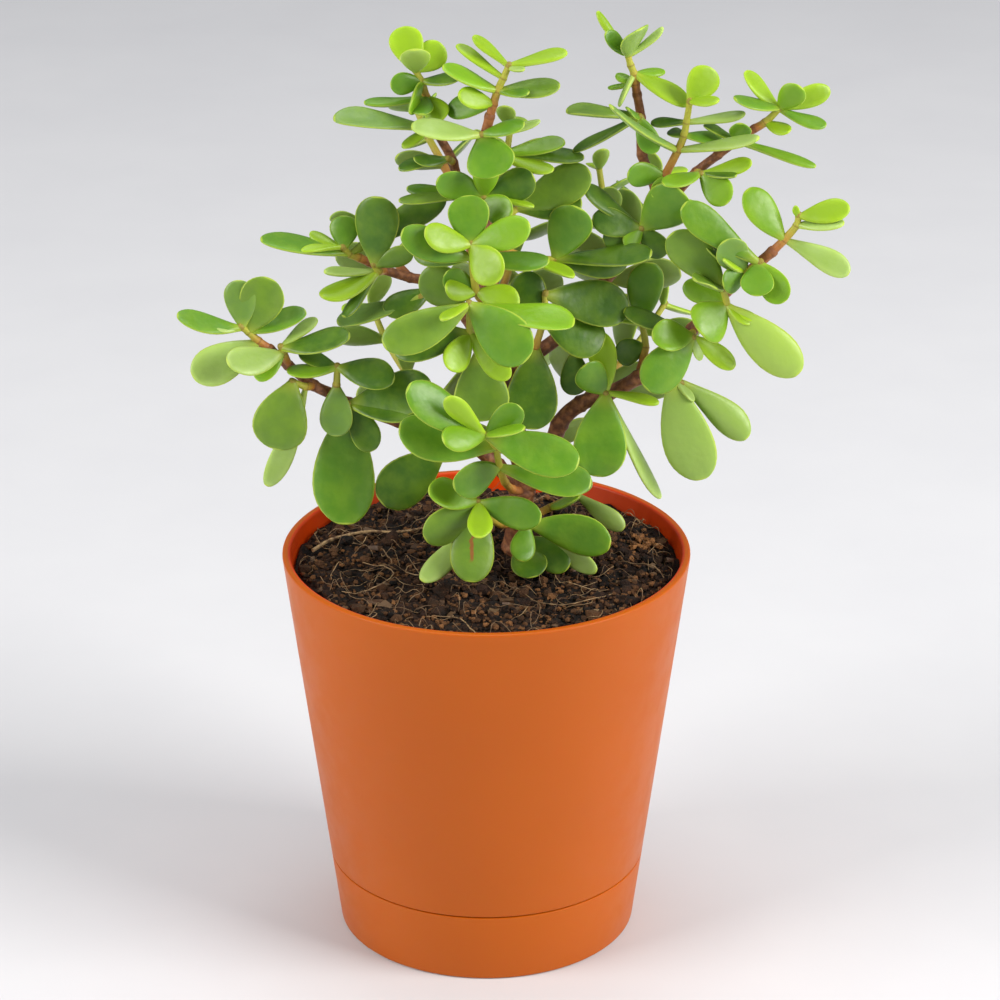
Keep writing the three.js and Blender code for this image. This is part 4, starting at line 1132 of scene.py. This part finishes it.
@dataclass
class Foliage:
    """All the leaves of the plant: two masters, copied, bent and placed leaf by leaf.

    Args:
        thickness: of a full-grown leaf at its middle, in metres
        arch: rise of a leaf's middle, as a share of its length
        root: how deep a leaf is rooted in its stem
        narrow: the ratio of width to length under which a leaf is spatulate
        draws: the seeded source of each leaf's small differences
    """

    thickness: float = 2.2 * MM
    arch: float = -0.01
    root: float = 0.8 * MM
    narrow: float = 0.4
    draws: random.Random = field(default_factory=lambda: random.Random(7))

    def __post_init__(self) -> None:
        """Models the masters and the material."""
        self.masters = {form: LeafMaster(form).build() for form in LeafForm}
        self.material = leaf_material()

    def grow(self, name: str, node: str, base: Vector, reach: Vector, width: float, facing: Vector,
             tone: Tone) -> bpy.types.Object:
        """Copies a master and lays it from its base to its tip.

        Args:
            name: the piece's name
            node: the CAD node that it stands for, with the rest of its shoot
            base: the point on the stem that it grows from
            reach: from there to its tip
            width: its greatest width
            facing: which way its upper face looks
            tone: its colour

        Returns:
            the leaf
        """
        length = reach.length + self.root
        form = LeafForm.SPATULATE if width / length < self.narrow else LeafForm.OVAL
        mesh = self.masters[form].copy()
        along = reach.normalized()
        across = along.cross(facing).normalized()
        twist = Matrix.Rotation(math.radians(self.draws.uniform(-9, 9)), 3, along)
        across = twist @ across
        up = across.cross(along)
        arch = self.arch + self.draws.uniform(-0.045, 0.045)
        cup = self.draws.uniform(-0.1, 0.22)
        sickle = self.draws.uniform(-0.035, 0.035)
        grown = min(1.0, 0.5 + length / (34 * MM))
        x, y, z = vertices_of(mesh).T
        bow = 4 * y * (1 - y)
        sideways = x * width + sickle * length * bow
        lift = z * self.thickness * grown + arch * length * bow + cup * width * (2 * x) ** 2 * y
        start = base - along * self.root
        places = (np.array(start) + np.outer(y * length, along) + np.outer(sideways, across)
                  + np.outer(lift, up))
        move_vertices(mesh, places)
        shift = self.draws.uniform(-0.1, 0.1)
        tint = np.array(linear(tone.value)) * (1 + shift)
        set_colour(mesh, "tint", tint)
        set_float(mesh, "scar", np.full(len(mesh.vertices), name in SCARRED))
        piece = bpy.data.objects.new(name, mesh)
        bpy.context.collection.objects.link(piece)
        mesh.polygons.foreach_set("use_smooth", np.ones(len(mesh.polygons), bool))
        return finish_piece(piece, name, "jade_leaf", self.material, node)


@dataclass
class Plant:
    """The woody stems, the shoots and their leaves.

    Args:
        soil_level: height of the soil in metres
        shoot_widths: across a leafy shoot at its foot and at its tip
        tip_share: how small the last pair of a ruled shoot is
        pair_rise: how far a paired leaf leans towards the shoot's tip
    """

    soil_level: float
    shoot_widths: tuple[float, float] = (2.5 * MM, 1.7 * MM)
    tip_share: float = 0.6
    pair_rise: float = 0.45

    def placed(self, point: Point) -> Vector:
        """A listed point at its place over the soil, in metres."""
        x, y, height = point
        return Vector((x * MM, y * MM, height * MM + self.soil_level))

    def route(self, stem: Branch | Shoot | PairedShoot) -> list[Vector]:
        """All the points of a stem, with the point that it grows out of first."""
        points = [self.placed(point) for point in stem.points]
        if stem.source is None:
            return points
        parent, index = stem.source
        return [self.route(BRANCHES[parent])[index], *points]

    def build(self) -> None:
        """Builds every stem, and on each shoot its leaves."""
        bark = bark_material()
        foliage = Foliage()
        for name, branch in BRANCHES.items():
            widths = tuple(width * MM for width in branch.widths)
            youth = (0.0, 0.05) if branch.source is None else (0.05, 0.42)
            piece = Stem(self.route(branch), widths, sides=16, youth=youth).build()
            shade(piece, 180)
            finish_piece(piece, f"{name}_bark", "jade_wood", bark, name)
            LOG.info("stem: %s", name)
        for name, shoot in {**SHOOTS, **PAIRED_SHOOTS}.items():
            piece = Stem(self.route(shoot), self.shoot_widths, youth=(0.4, 0.95)).build()
            shade(piece, 180)
            finish_piece(piece, f"{name}_stem", "jade_leaf", bark, name)
            leaves = self.listed(shoot) if isinstance(shoot, Shoot) else self.paired(shoot)
            for number, leaf in enumerate(leaves):
                foliage.grow(f"{name}_leaf_{number + 1}", name, *leaf)
            LOG.info("shoot: %s with %d leaves", name, len(leaves))

    def listed(self, shoot: Shoot) -> list[tuple[Vector, Vector, float, Vector, Tone]]:
        """Base, reach, width, facing and tone of each leaf of a listed shoot."""
        route = self.route(shoot)
        return [(route[leaf.at], Vector((leaf.x, leaf.y, leaf.z)) * MM, leaf.width * MM,
                 Vector(leaf.face.value), leaf.tone) for leaf in shoot.leaves]

    def paired(self, shoot: PairedShoot) -> list[tuple[Vector, Vector, float, Vector, Tone]]:
        """Base, reach, width, facing and tone of each leaf of a ruled shoot."""
        route = self.route(shoot)
        # The lowest pair takes the darkest tone, which holds painted shade for leaves deep inside the plant.
        tones = (Tone.DARK, Tone.GREEN, Tone.GREEN, Tone.LIME)
        leaves = []
        for at in range(1, len(route)):
            size = (1 - (1 - self.tip_share) * (at - 1) / (len(route) - 2)) * MM
            ahead = (route[at] - route[at - 1]).normalized()
            level = Vector((0, 0, 1)).cross(ahead).normalized()
            outward = level if at % 2 else ahead.cross(level)
            for hand in (1, -1):
                reach = (outward * hand + ahead * self.pair_rise).normalized() * shoot.length * size
                leaves.append((route[at], reach, shoot.width * size, ahead, tones[at - 1]))
        return leaves


# ---- the soil ----


@dataclass
class SoilBed:
    """The potting mix: a lumpy bed, loose crumbs and clods, coir fibres, fine roots and bark chips.

    Args:
        level: height of the bed in metres
        radius: of the bed where it meets the pot
        rings, sectors: how finely its top is divided
        swell: depth of its hills and hollows
        crown: middle and spread of the rise round the trunk
        dip: middle and spread of the hollow under the front leaves
        clump: middle and radius of a heap of pale dry crumbs
        strand_sides, strand_steps: facets round a fibre and spans along it
        draws: the seeded source of all that lies loose on it
    """

    level: float
    radius: float
    rings: int = 34
    sectors: int = 96
    swell: float = 2.4 * MM
    crown: tuple[float, float, float] = (8 * MM, 5 * MM, 22 * MM)
    dip: tuple[float, float, float] = (14 * MM, -12 * MM, 15 * MM)
    clump: tuple[float, float, float] = (43 * MM, 11 * MM, 4.5 * MM)
    strand_sides: int = 4
    strand_steps: int = 9
    draws: random.Random = field(default_factory=lambda: random.Random(21))

    def height(self, x: float, y: float) -> float:
        """The height of the bed's top at a place, as hills and hollows of three sizes."""
        far = math.hypot(x, y) / self.radius
        waves = 0.5 * math.sin(x * 210 + 1.3) * math.cos(y * 180 - 0.7)
        waves += 0.35 * math.sin(x * 520 - y * 430 + 0.4)
        waves += 0.3 * math.sin(x * 900 + 2.1) * math.sin(y * 980 + 0.6)
        crown = 0.9 * self.mound(x, y, self.crown)
        dip = self.mound(x, y, self.dip)
        return self.level + self.swell * (0.45 * waves + crown * 0.4 - dip - 0.55 * far**6)

    @staticmethod
    def mound(x: float, y: float, shape: tuple[float, float, float]) -> float:
        """The height of a soft round mound at a place, 1 at its middle, for its middle and spread."""
        return math.exp(-((x - shape[0]) ** 2 + (y - shape[1]) ** 2) / shape[2] ** 2)

    def bed(self) -> bpy.types.Object:
        """A deep round block whose top is divided finely and raised into hills and hollows."""
        low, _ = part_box("potting_soil")
        deselect_all()
        bpy.ops.mesh.primitive_cylinder_add(vertices=self.sectors, radius=self.radius, depth=1,
                                            location=(0, 0, 0))
        piece = bpy.context.object
        bpy.ops.object.mode_set(mode="EDIT")
        bpy.ops.mesh.select_all(action="DESELECT")
        mesh = bmesh.from_edit_mesh(piece.data)
        for face in mesh.faces:
            face.select = face.normal.z > 0.9
        bmesh.update_edit_mesh(piece.data)
        for _ in range(self.rings):
            bpy.ops.mesh.inset(thickness=self.radius / (self.rings + 1), use_even_offset=True)
        bpy.ops.object.mode_set(mode="OBJECT")
        places = vertices_of(piece.data)
        floor_radius = low[0] / -self.radius
        for place in places:
            if place[2] > 0:
                place[2] = self.height(place[0], place[1])
                place[:2] *= 1 + 0.012 * math.sin(place[0] * 2100) * math.cos(place[1] * 1900)
            else:
                place[2] = low[2]
                place[:2] *= 0.6 * floor_radius
        move_vertices(piece.data, places)
        texture = bpy.data.textures.new("Soil lumps", "CLOUDS")
        texture.noise_scale = 2.6 * MM
        texture.noise_depth = 4
        activate(piece)
        bpy.ops.object.vertex_group_add()
        top = [i for i, place in enumerate(places) if place[2] > self.level - 8 * MM
               and math.hypot(place[0], place[1]) < self.radius * 0.985]
        piece.vertex_groups[0].add(top, 1.0, "REPLACE")
        apply_modifier(piece, "DISPLACE", texture=texture, strength=4 * MM, direction="Z",
                       vertex_group=piece.vertex_groups[0].name)
        set_float(piece.data, "tint", [0.0] * len(piece.data.vertices))
        return piece

    def spot(self) -> tuple[float, float]:
        """A random place on the bed, clear of its edge."""
        far = self.radius * 0.955 * math.sqrt(self.draws.random())
        turn = self.draws.uniform(0, 2 * math.pi)
        return far * math.cos(turn), far * math.sin(turn)

    def spot_near(self, x: float, y: float, reach: float) -> tuple[float, float]:
        """A random place within reach of a point, mostly close to it."""
        far = reach * self.draws.random()
        turn = self.draws.uniform(0, 2 * math.pi)
        return x + far * math.cos(turn), y + far * math.sin(turn)

    def scattered(self, master: Callable[[], bpy.types.Object], count: int, sizes: tuple[float, float],
                  flat: float, tints: tuple[float, float], sink: float,
                  around: tuple[float, float, float] | None = None) -> bpy.types.Object:
        """Strews copies of a small solid over the bed.

        Args:
            master: models the solid, a unit across
            count: how many copies
            sizes: the smallest and largest, in metres
            flat: height over width
            tints: the darkest and palest tint
            sink: how much of each lies under the surface
            around: the middle of a heap and its radius, or nothing for the whole bed

        Returns:
            all the copies as one piece
        """
        source = master()
        shape = vertices_of(source.data)
        meshes, tones = [], []
        for _ in range(count):
            size = sizes[0] + (sizes[1] - sizes[0]) * self.draws.random() ** 2.2
            x, y = self.spot() if around is None else self.spot_near(*around)
            turn = Matrix.Rotation(self.draws.uniform(0, 2 * math.pi), 3, "Z")
            turn = Matrix.Rotation(self.draws.uniform(-0.6, 0.6), 3, "X") @ turn
            spread = np.array([self.draws.uniform(0.7, 1.3), self.draws.uniform(0.6, 1.1), flat])
            rough = 1 + 0.22 * np.sin(shape * self.draws.uniform(5, 11) + self.draws.uniform(0, 6))
            places = (shape * rough * spread * size) @ np.array(turn).T
            places += np.array([x, y, self.height(x, y) + size * flat * (0.5 - sink)])
            meshes.append(places)
            tones.append(tints[0] + (tints[1] - tints[0]) * self.draws.random() ** 2.5)
        return self.repeated(source, meshes, tones, smooth=False)

    def repeated(self, source: bpy.types.Object, placed: list[np.ndarray], tones: list[float],
                 smooth: bool) -> bpy.types.Object:
        """Builds one mesh from many placed copies of a source mesh.

        Args:
            source: the modelled solid, which is removed
            placed: the vertices of each copy
            tones: the tint of each copy
            smooth: whether its faces are shaded as one round surface

        Returns:
            the joined piece
        """
        faces = [tuple(face.vertices) for face in source.data.polygons]
        count = len(source.data.vertices)
        all_faces = [tuple(i + number * count for i in face)
                     for number in range(len(placed)) for face in faces]
        mesh = bpy.data.meshes.new("loose")
        mesh.from_pydata(np.vstack(placed).tolist(), [], all_faces)
        set_float(mesh, "tint", np.repeat(tones, count))
        mesh.polygons.foreach_set("use_smooth", np.full(len(mesh.polygons), smooth))
        piece = bpy.data.objects.new("loose", mesh)
        bpy.context.collection.objects.link(piece)
        bpy.data.objects.remove(source, do_unlink=True)
        return piece

    @staticmethod
    def roughened(offset: float, seed: int, cuts: int = 0) -> bpy.types.Object:
        """Divides the faces of the solid just added and pushes its corners out of place.

        Args:
            offset: how far a corner may move, for a solid a unit across
            seed: of the random moves
            cuts: how many times each edge is divided first

        Returns:
            the solid
        """
        piece = bpy.context.object
        bpy.ops.object.mode_set(mode="EDIT")
        bpy.ops.mesh.select_all(action="SELECT")
        if cuts:
            bpy.ops.mesh.subdivide(number_cuts=cuts)
        bpy.ops.transform.vertex_random(offset=offset, seed=seed)
        bpy.ops.object.mode_set(mode="OBJECT")
        return piece

    def crumb(self) -> bpy.types.Object:
        """A crumb: an icosphere pushed out of round."""
        deselect_all()
        bpy.ops.mesh.primitive_ico_sphere_add(subdivisions=1, radius=0.5)
        return self.roughened(offset=0.16, seed=3)

    def chip(self) -> bpy.types.Object:
        """A bark chip: a thin slab with splintered ends."""
        deselect_all()
        bpy.ops.mesh.primitive_cube_add(size=1)
        return self.roughened(offset=0.12, seed=5, cuts=1)

    def strand(self, start: Vector, heading: float, length: float, width: float, curl: float,
               loft: float) -> list[Vector]:
        """The route of one fibre as it lies on the bed.

        Args:
            start: its middle
            heading: its direction there
            length: its length
            width: its width
            curl: how strongly it turns, in turns over its length
            loft: how high its middle stands off the bed

        Returns:
            its points
        """
        steps = self.strand_steps
        wobble = self.draws.uniform(0.4, 1.4)
        phase = self.draws.uniform(0, 6)
        x, y = start.x, start.y
        points = []
        for i in range(steps + 1):
            share = i / steps
            turn = heading + 2 * math.pi * curl * (share - 0.5) + wobble * math.sin(phase + 5 * share) * 0.5
            rise = loft * math.sin(math.pi * share) * (0.6 + 0.4 * math.sin(phase + 7 * share))
            far = math.hypot(x, y)
            if far > self.radius * 0.965:
                x, y = x * self.radius * 0.965 / far, y * self.radius * 0.965 / far
            points.append(Vector((x, y, self.height(x, y) + width * 0.6 + rise + 0.7 * MM)))
            x += math.cos(turn) * length / steps
            y += math.sin(turn) * length / steps
        return points

    def fibres(self, count: int, lengths: tuple[float, float], widths: tuple[float, float],
               tints: tuple[float, float], loft: float) -> bpy.types.Object:
        """Lays fibres over the bed in loose curls.

        Args:
            count: how many
            lengths, widths: smallest and largest, in metres
            tints: darkest and palest tint
            loft: the highest that one stands off the bed

        Returns:
            all the fibres as one piece
        """
        sides, steps = self.strand_sides, self.strand_steps
        source = straight_tube(sides, steps)
        placed, tones = [], []
        for _ in range(count):
            width = self.draws.uniform(*widths)
            x, y = self.spot()
            route = self.strand(Vector((x, y, 0)), self.draws.uniform(0, 2 * math.pi),
                                self.draws.uniform(*lengths), width, self.draws.uniform(-0.45, 0.45),
                                self.draws.uniform(0, loft))
            laid = Stem([route[0], route[-1]], (width, width), sides=sides)
            copy = source.data.copy()
            taper = [width / 2 * (0.5 + 0.5 * math.sin(math.pi * (0.12 + 0.76 * i / steps)))
                     for i in range(steps + 1)]
            laid.follow(copy, route, taper)
            placed.append(vertices_of(copy))
            bpy.data.meshes.remove(copy)
            tones.append(self.draws.uniform(*tints))
        return self.repeated(source, placed, tones, smooth=True)

    def long_root(self) -> bpy.types.Object:
        """One long pale root that lies over the left of the bed."""
        spots = ((-47, 6), (-42, 12), (-33, 15), (-24, 15), (-15, 18))
        points = [Vector((x * MM, y * MM, self.height(x * MM, y * MM) + 2 * MM)) for x, y in spots]
        piece = Stem(points, (1.1 * MM, 0.5 * MM), sides=8, swelling=0.1).build()
        set_float(piece.data, "tint", [0.95] * len(piece.data.vertices))
        return piece

    def build(self) -> None:
        """Builds the bed and all that lies on it."""
        soil = soil_material()
        fibre = fibre_material()
        bed = self.bed()
        shade(bed, 180)
        finish_piece(bed, "soil_bed", "potting_soil", soil, "potting_soil")
        loose = (
            ("soil_crumbs", soil,
             self.scattered(self.crumb, 6000, (0.5 * MM, 1.9 * MM), 0.8, (0, 0.8), 0.15)),
            ("soil_clods", soil,
             self.scattered(self.crumb, 260, (2 * MM, 4.6 * MM), 0.75, (0, 0.35), 0.25)),
            ("pale_clump", soil,
             self.scattered(self.crumb, 46, (1 * MM, 2.6 * MM), 0.9, (0.8, 1.6), 0.0, self.clump)),
            ("bark_chips", fibre,
             self.scattered(self.chip, 70, (1.2 * MM, 3.6 * MM), 0.35, (0, 0.4), 0.1)),
            ("coir_fibres", fibre,
             self.fibres(230, (4 * MM, 14 * MM), (0.12 * MM, 0.24 * MM), (0.0, 1.0), 4 * MM)),
            ("fine_roots", fibre,
             self.fibres(10, (16 * MM, 32 * MM), (0.22 * MM, 0.4 * MM), (0.5, 1.0), 3 * MM)),
            ("long_root", fibre, self.long_root()),
        )
        for name, material, piece in loose:
            finish_piece(piece, name, "potting_soil", material)
            LOG.info("soil: %s", name)


# ---- the stage ----


@dataclass
class Studio:
    """A pale floor, soft lamps and the camera.

    Args:
        distance: from the camera to the point that it looks at
        elevation: of the camera above level, in degrees
        target: that point
        lens: focal length in millimetres on a 36 mm sensor
    """

    distance: float = 1.0
    elevation: float = 23.33
    target: Point = (3.66 * MM, 0.0, 123.4 * MM)
    lens: float = 134.7

    def floor(self) -> None:
        """A wide pale board under the planter."""
        deselect_all()
        bpy.ops.mesh.primitive_plane_add(size=12, location=(0, 0, -0.0002))
        board = bpy.context.object
        board.name = "studio_floor"
        board.data.materials.append(board_material())

    def lamp(self, name: str, place: Point, size: float, power: float, colour: str) -> None:
        """A square soft lamp that looks at the plant.

        Args:
            name: its name
            place: where it hangs, in metres
            size: of its side
            power: in watts
            colour: as sRGB hex
        """
        deselect_all()
        bpy.ops.object.light_add(type="AREA", location=place)
        lamp = bpy.context.object
        lamp.name = name
        lamp.data.size = size
        lamp.data.energy = power
        lamp.data.color = linear(colour)
        lamp.rotation_mode = "QUATERNION"
        lamp.rotation_quaternion = (Vector(place) - Vector(self.target)).to_track_quat("Z", "Y")

    def camera(self) -> None:
        """The camera, in front of the plant and a little above it."""
        tilt = math.radians(self.elevation)
        target = Vector(self.target)
        place = target + self.distance * Vector((0, -math.cos(tilt), math.sin(tilt)))
        deselect_all()
        bpy.ops.object.camera_add(location=place)
        camera = bpy.context.object
        camera.name = "front_camera"
        camera.data.lens = self.lens
        camera.data.sensor_width = 36
        camera.data.clip_start = 0.01
        camera.rotation_mode = "QUATERNION"
        camera.rotation_quaternion = (place - target).to_track_quat("Z", "Y")
        bpy.context.scene.camera = camera

    def build(self) -> None:
        """Sets the whole stage."""
        self.camera()
        self.floor()
        self.lamp("key_lamp", (1.35, -0.6, 0.95), 0.9, 34, "fffcf6")
        self.lamp("fill_lamp", (-1.35, -0.6, 0.85), 0.9, 22, "fffcf6")
        self.lamp("top_lamp", (0.0, 0.3, 1.6), 0.8, 8, "ffffff")
        world = bpy.data.worlds.new("studio")
        world.use_nodes = True
        world.node_tree.nodes["Background"].inputs["Color"].default_value = (*linear("eef0f5"), 1)
        world.node_tree.nodes["Background"].inputs["Strength"].default_value = 0.3
        bpy.context.scene.world = world
        bpy.context.scene.view_settings.view_transform = "Standard"


def main() -> None:
    """Builds the stage, the planter, the soil and the plant, in that order."""
    logging.basicConfig(level=logging.INFO, format="%(name)s: %(message)s")
    Studio().build()
    planter = Planter()
    planter.build()
    _, soil_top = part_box("potting_soil")
    level = soil_top[2]
    SoilBed(level, planter.outside(level) - planter.wall - 0.2 * MM).build()
    Plant(level).build()


if __name__ == "__main__":
    main()
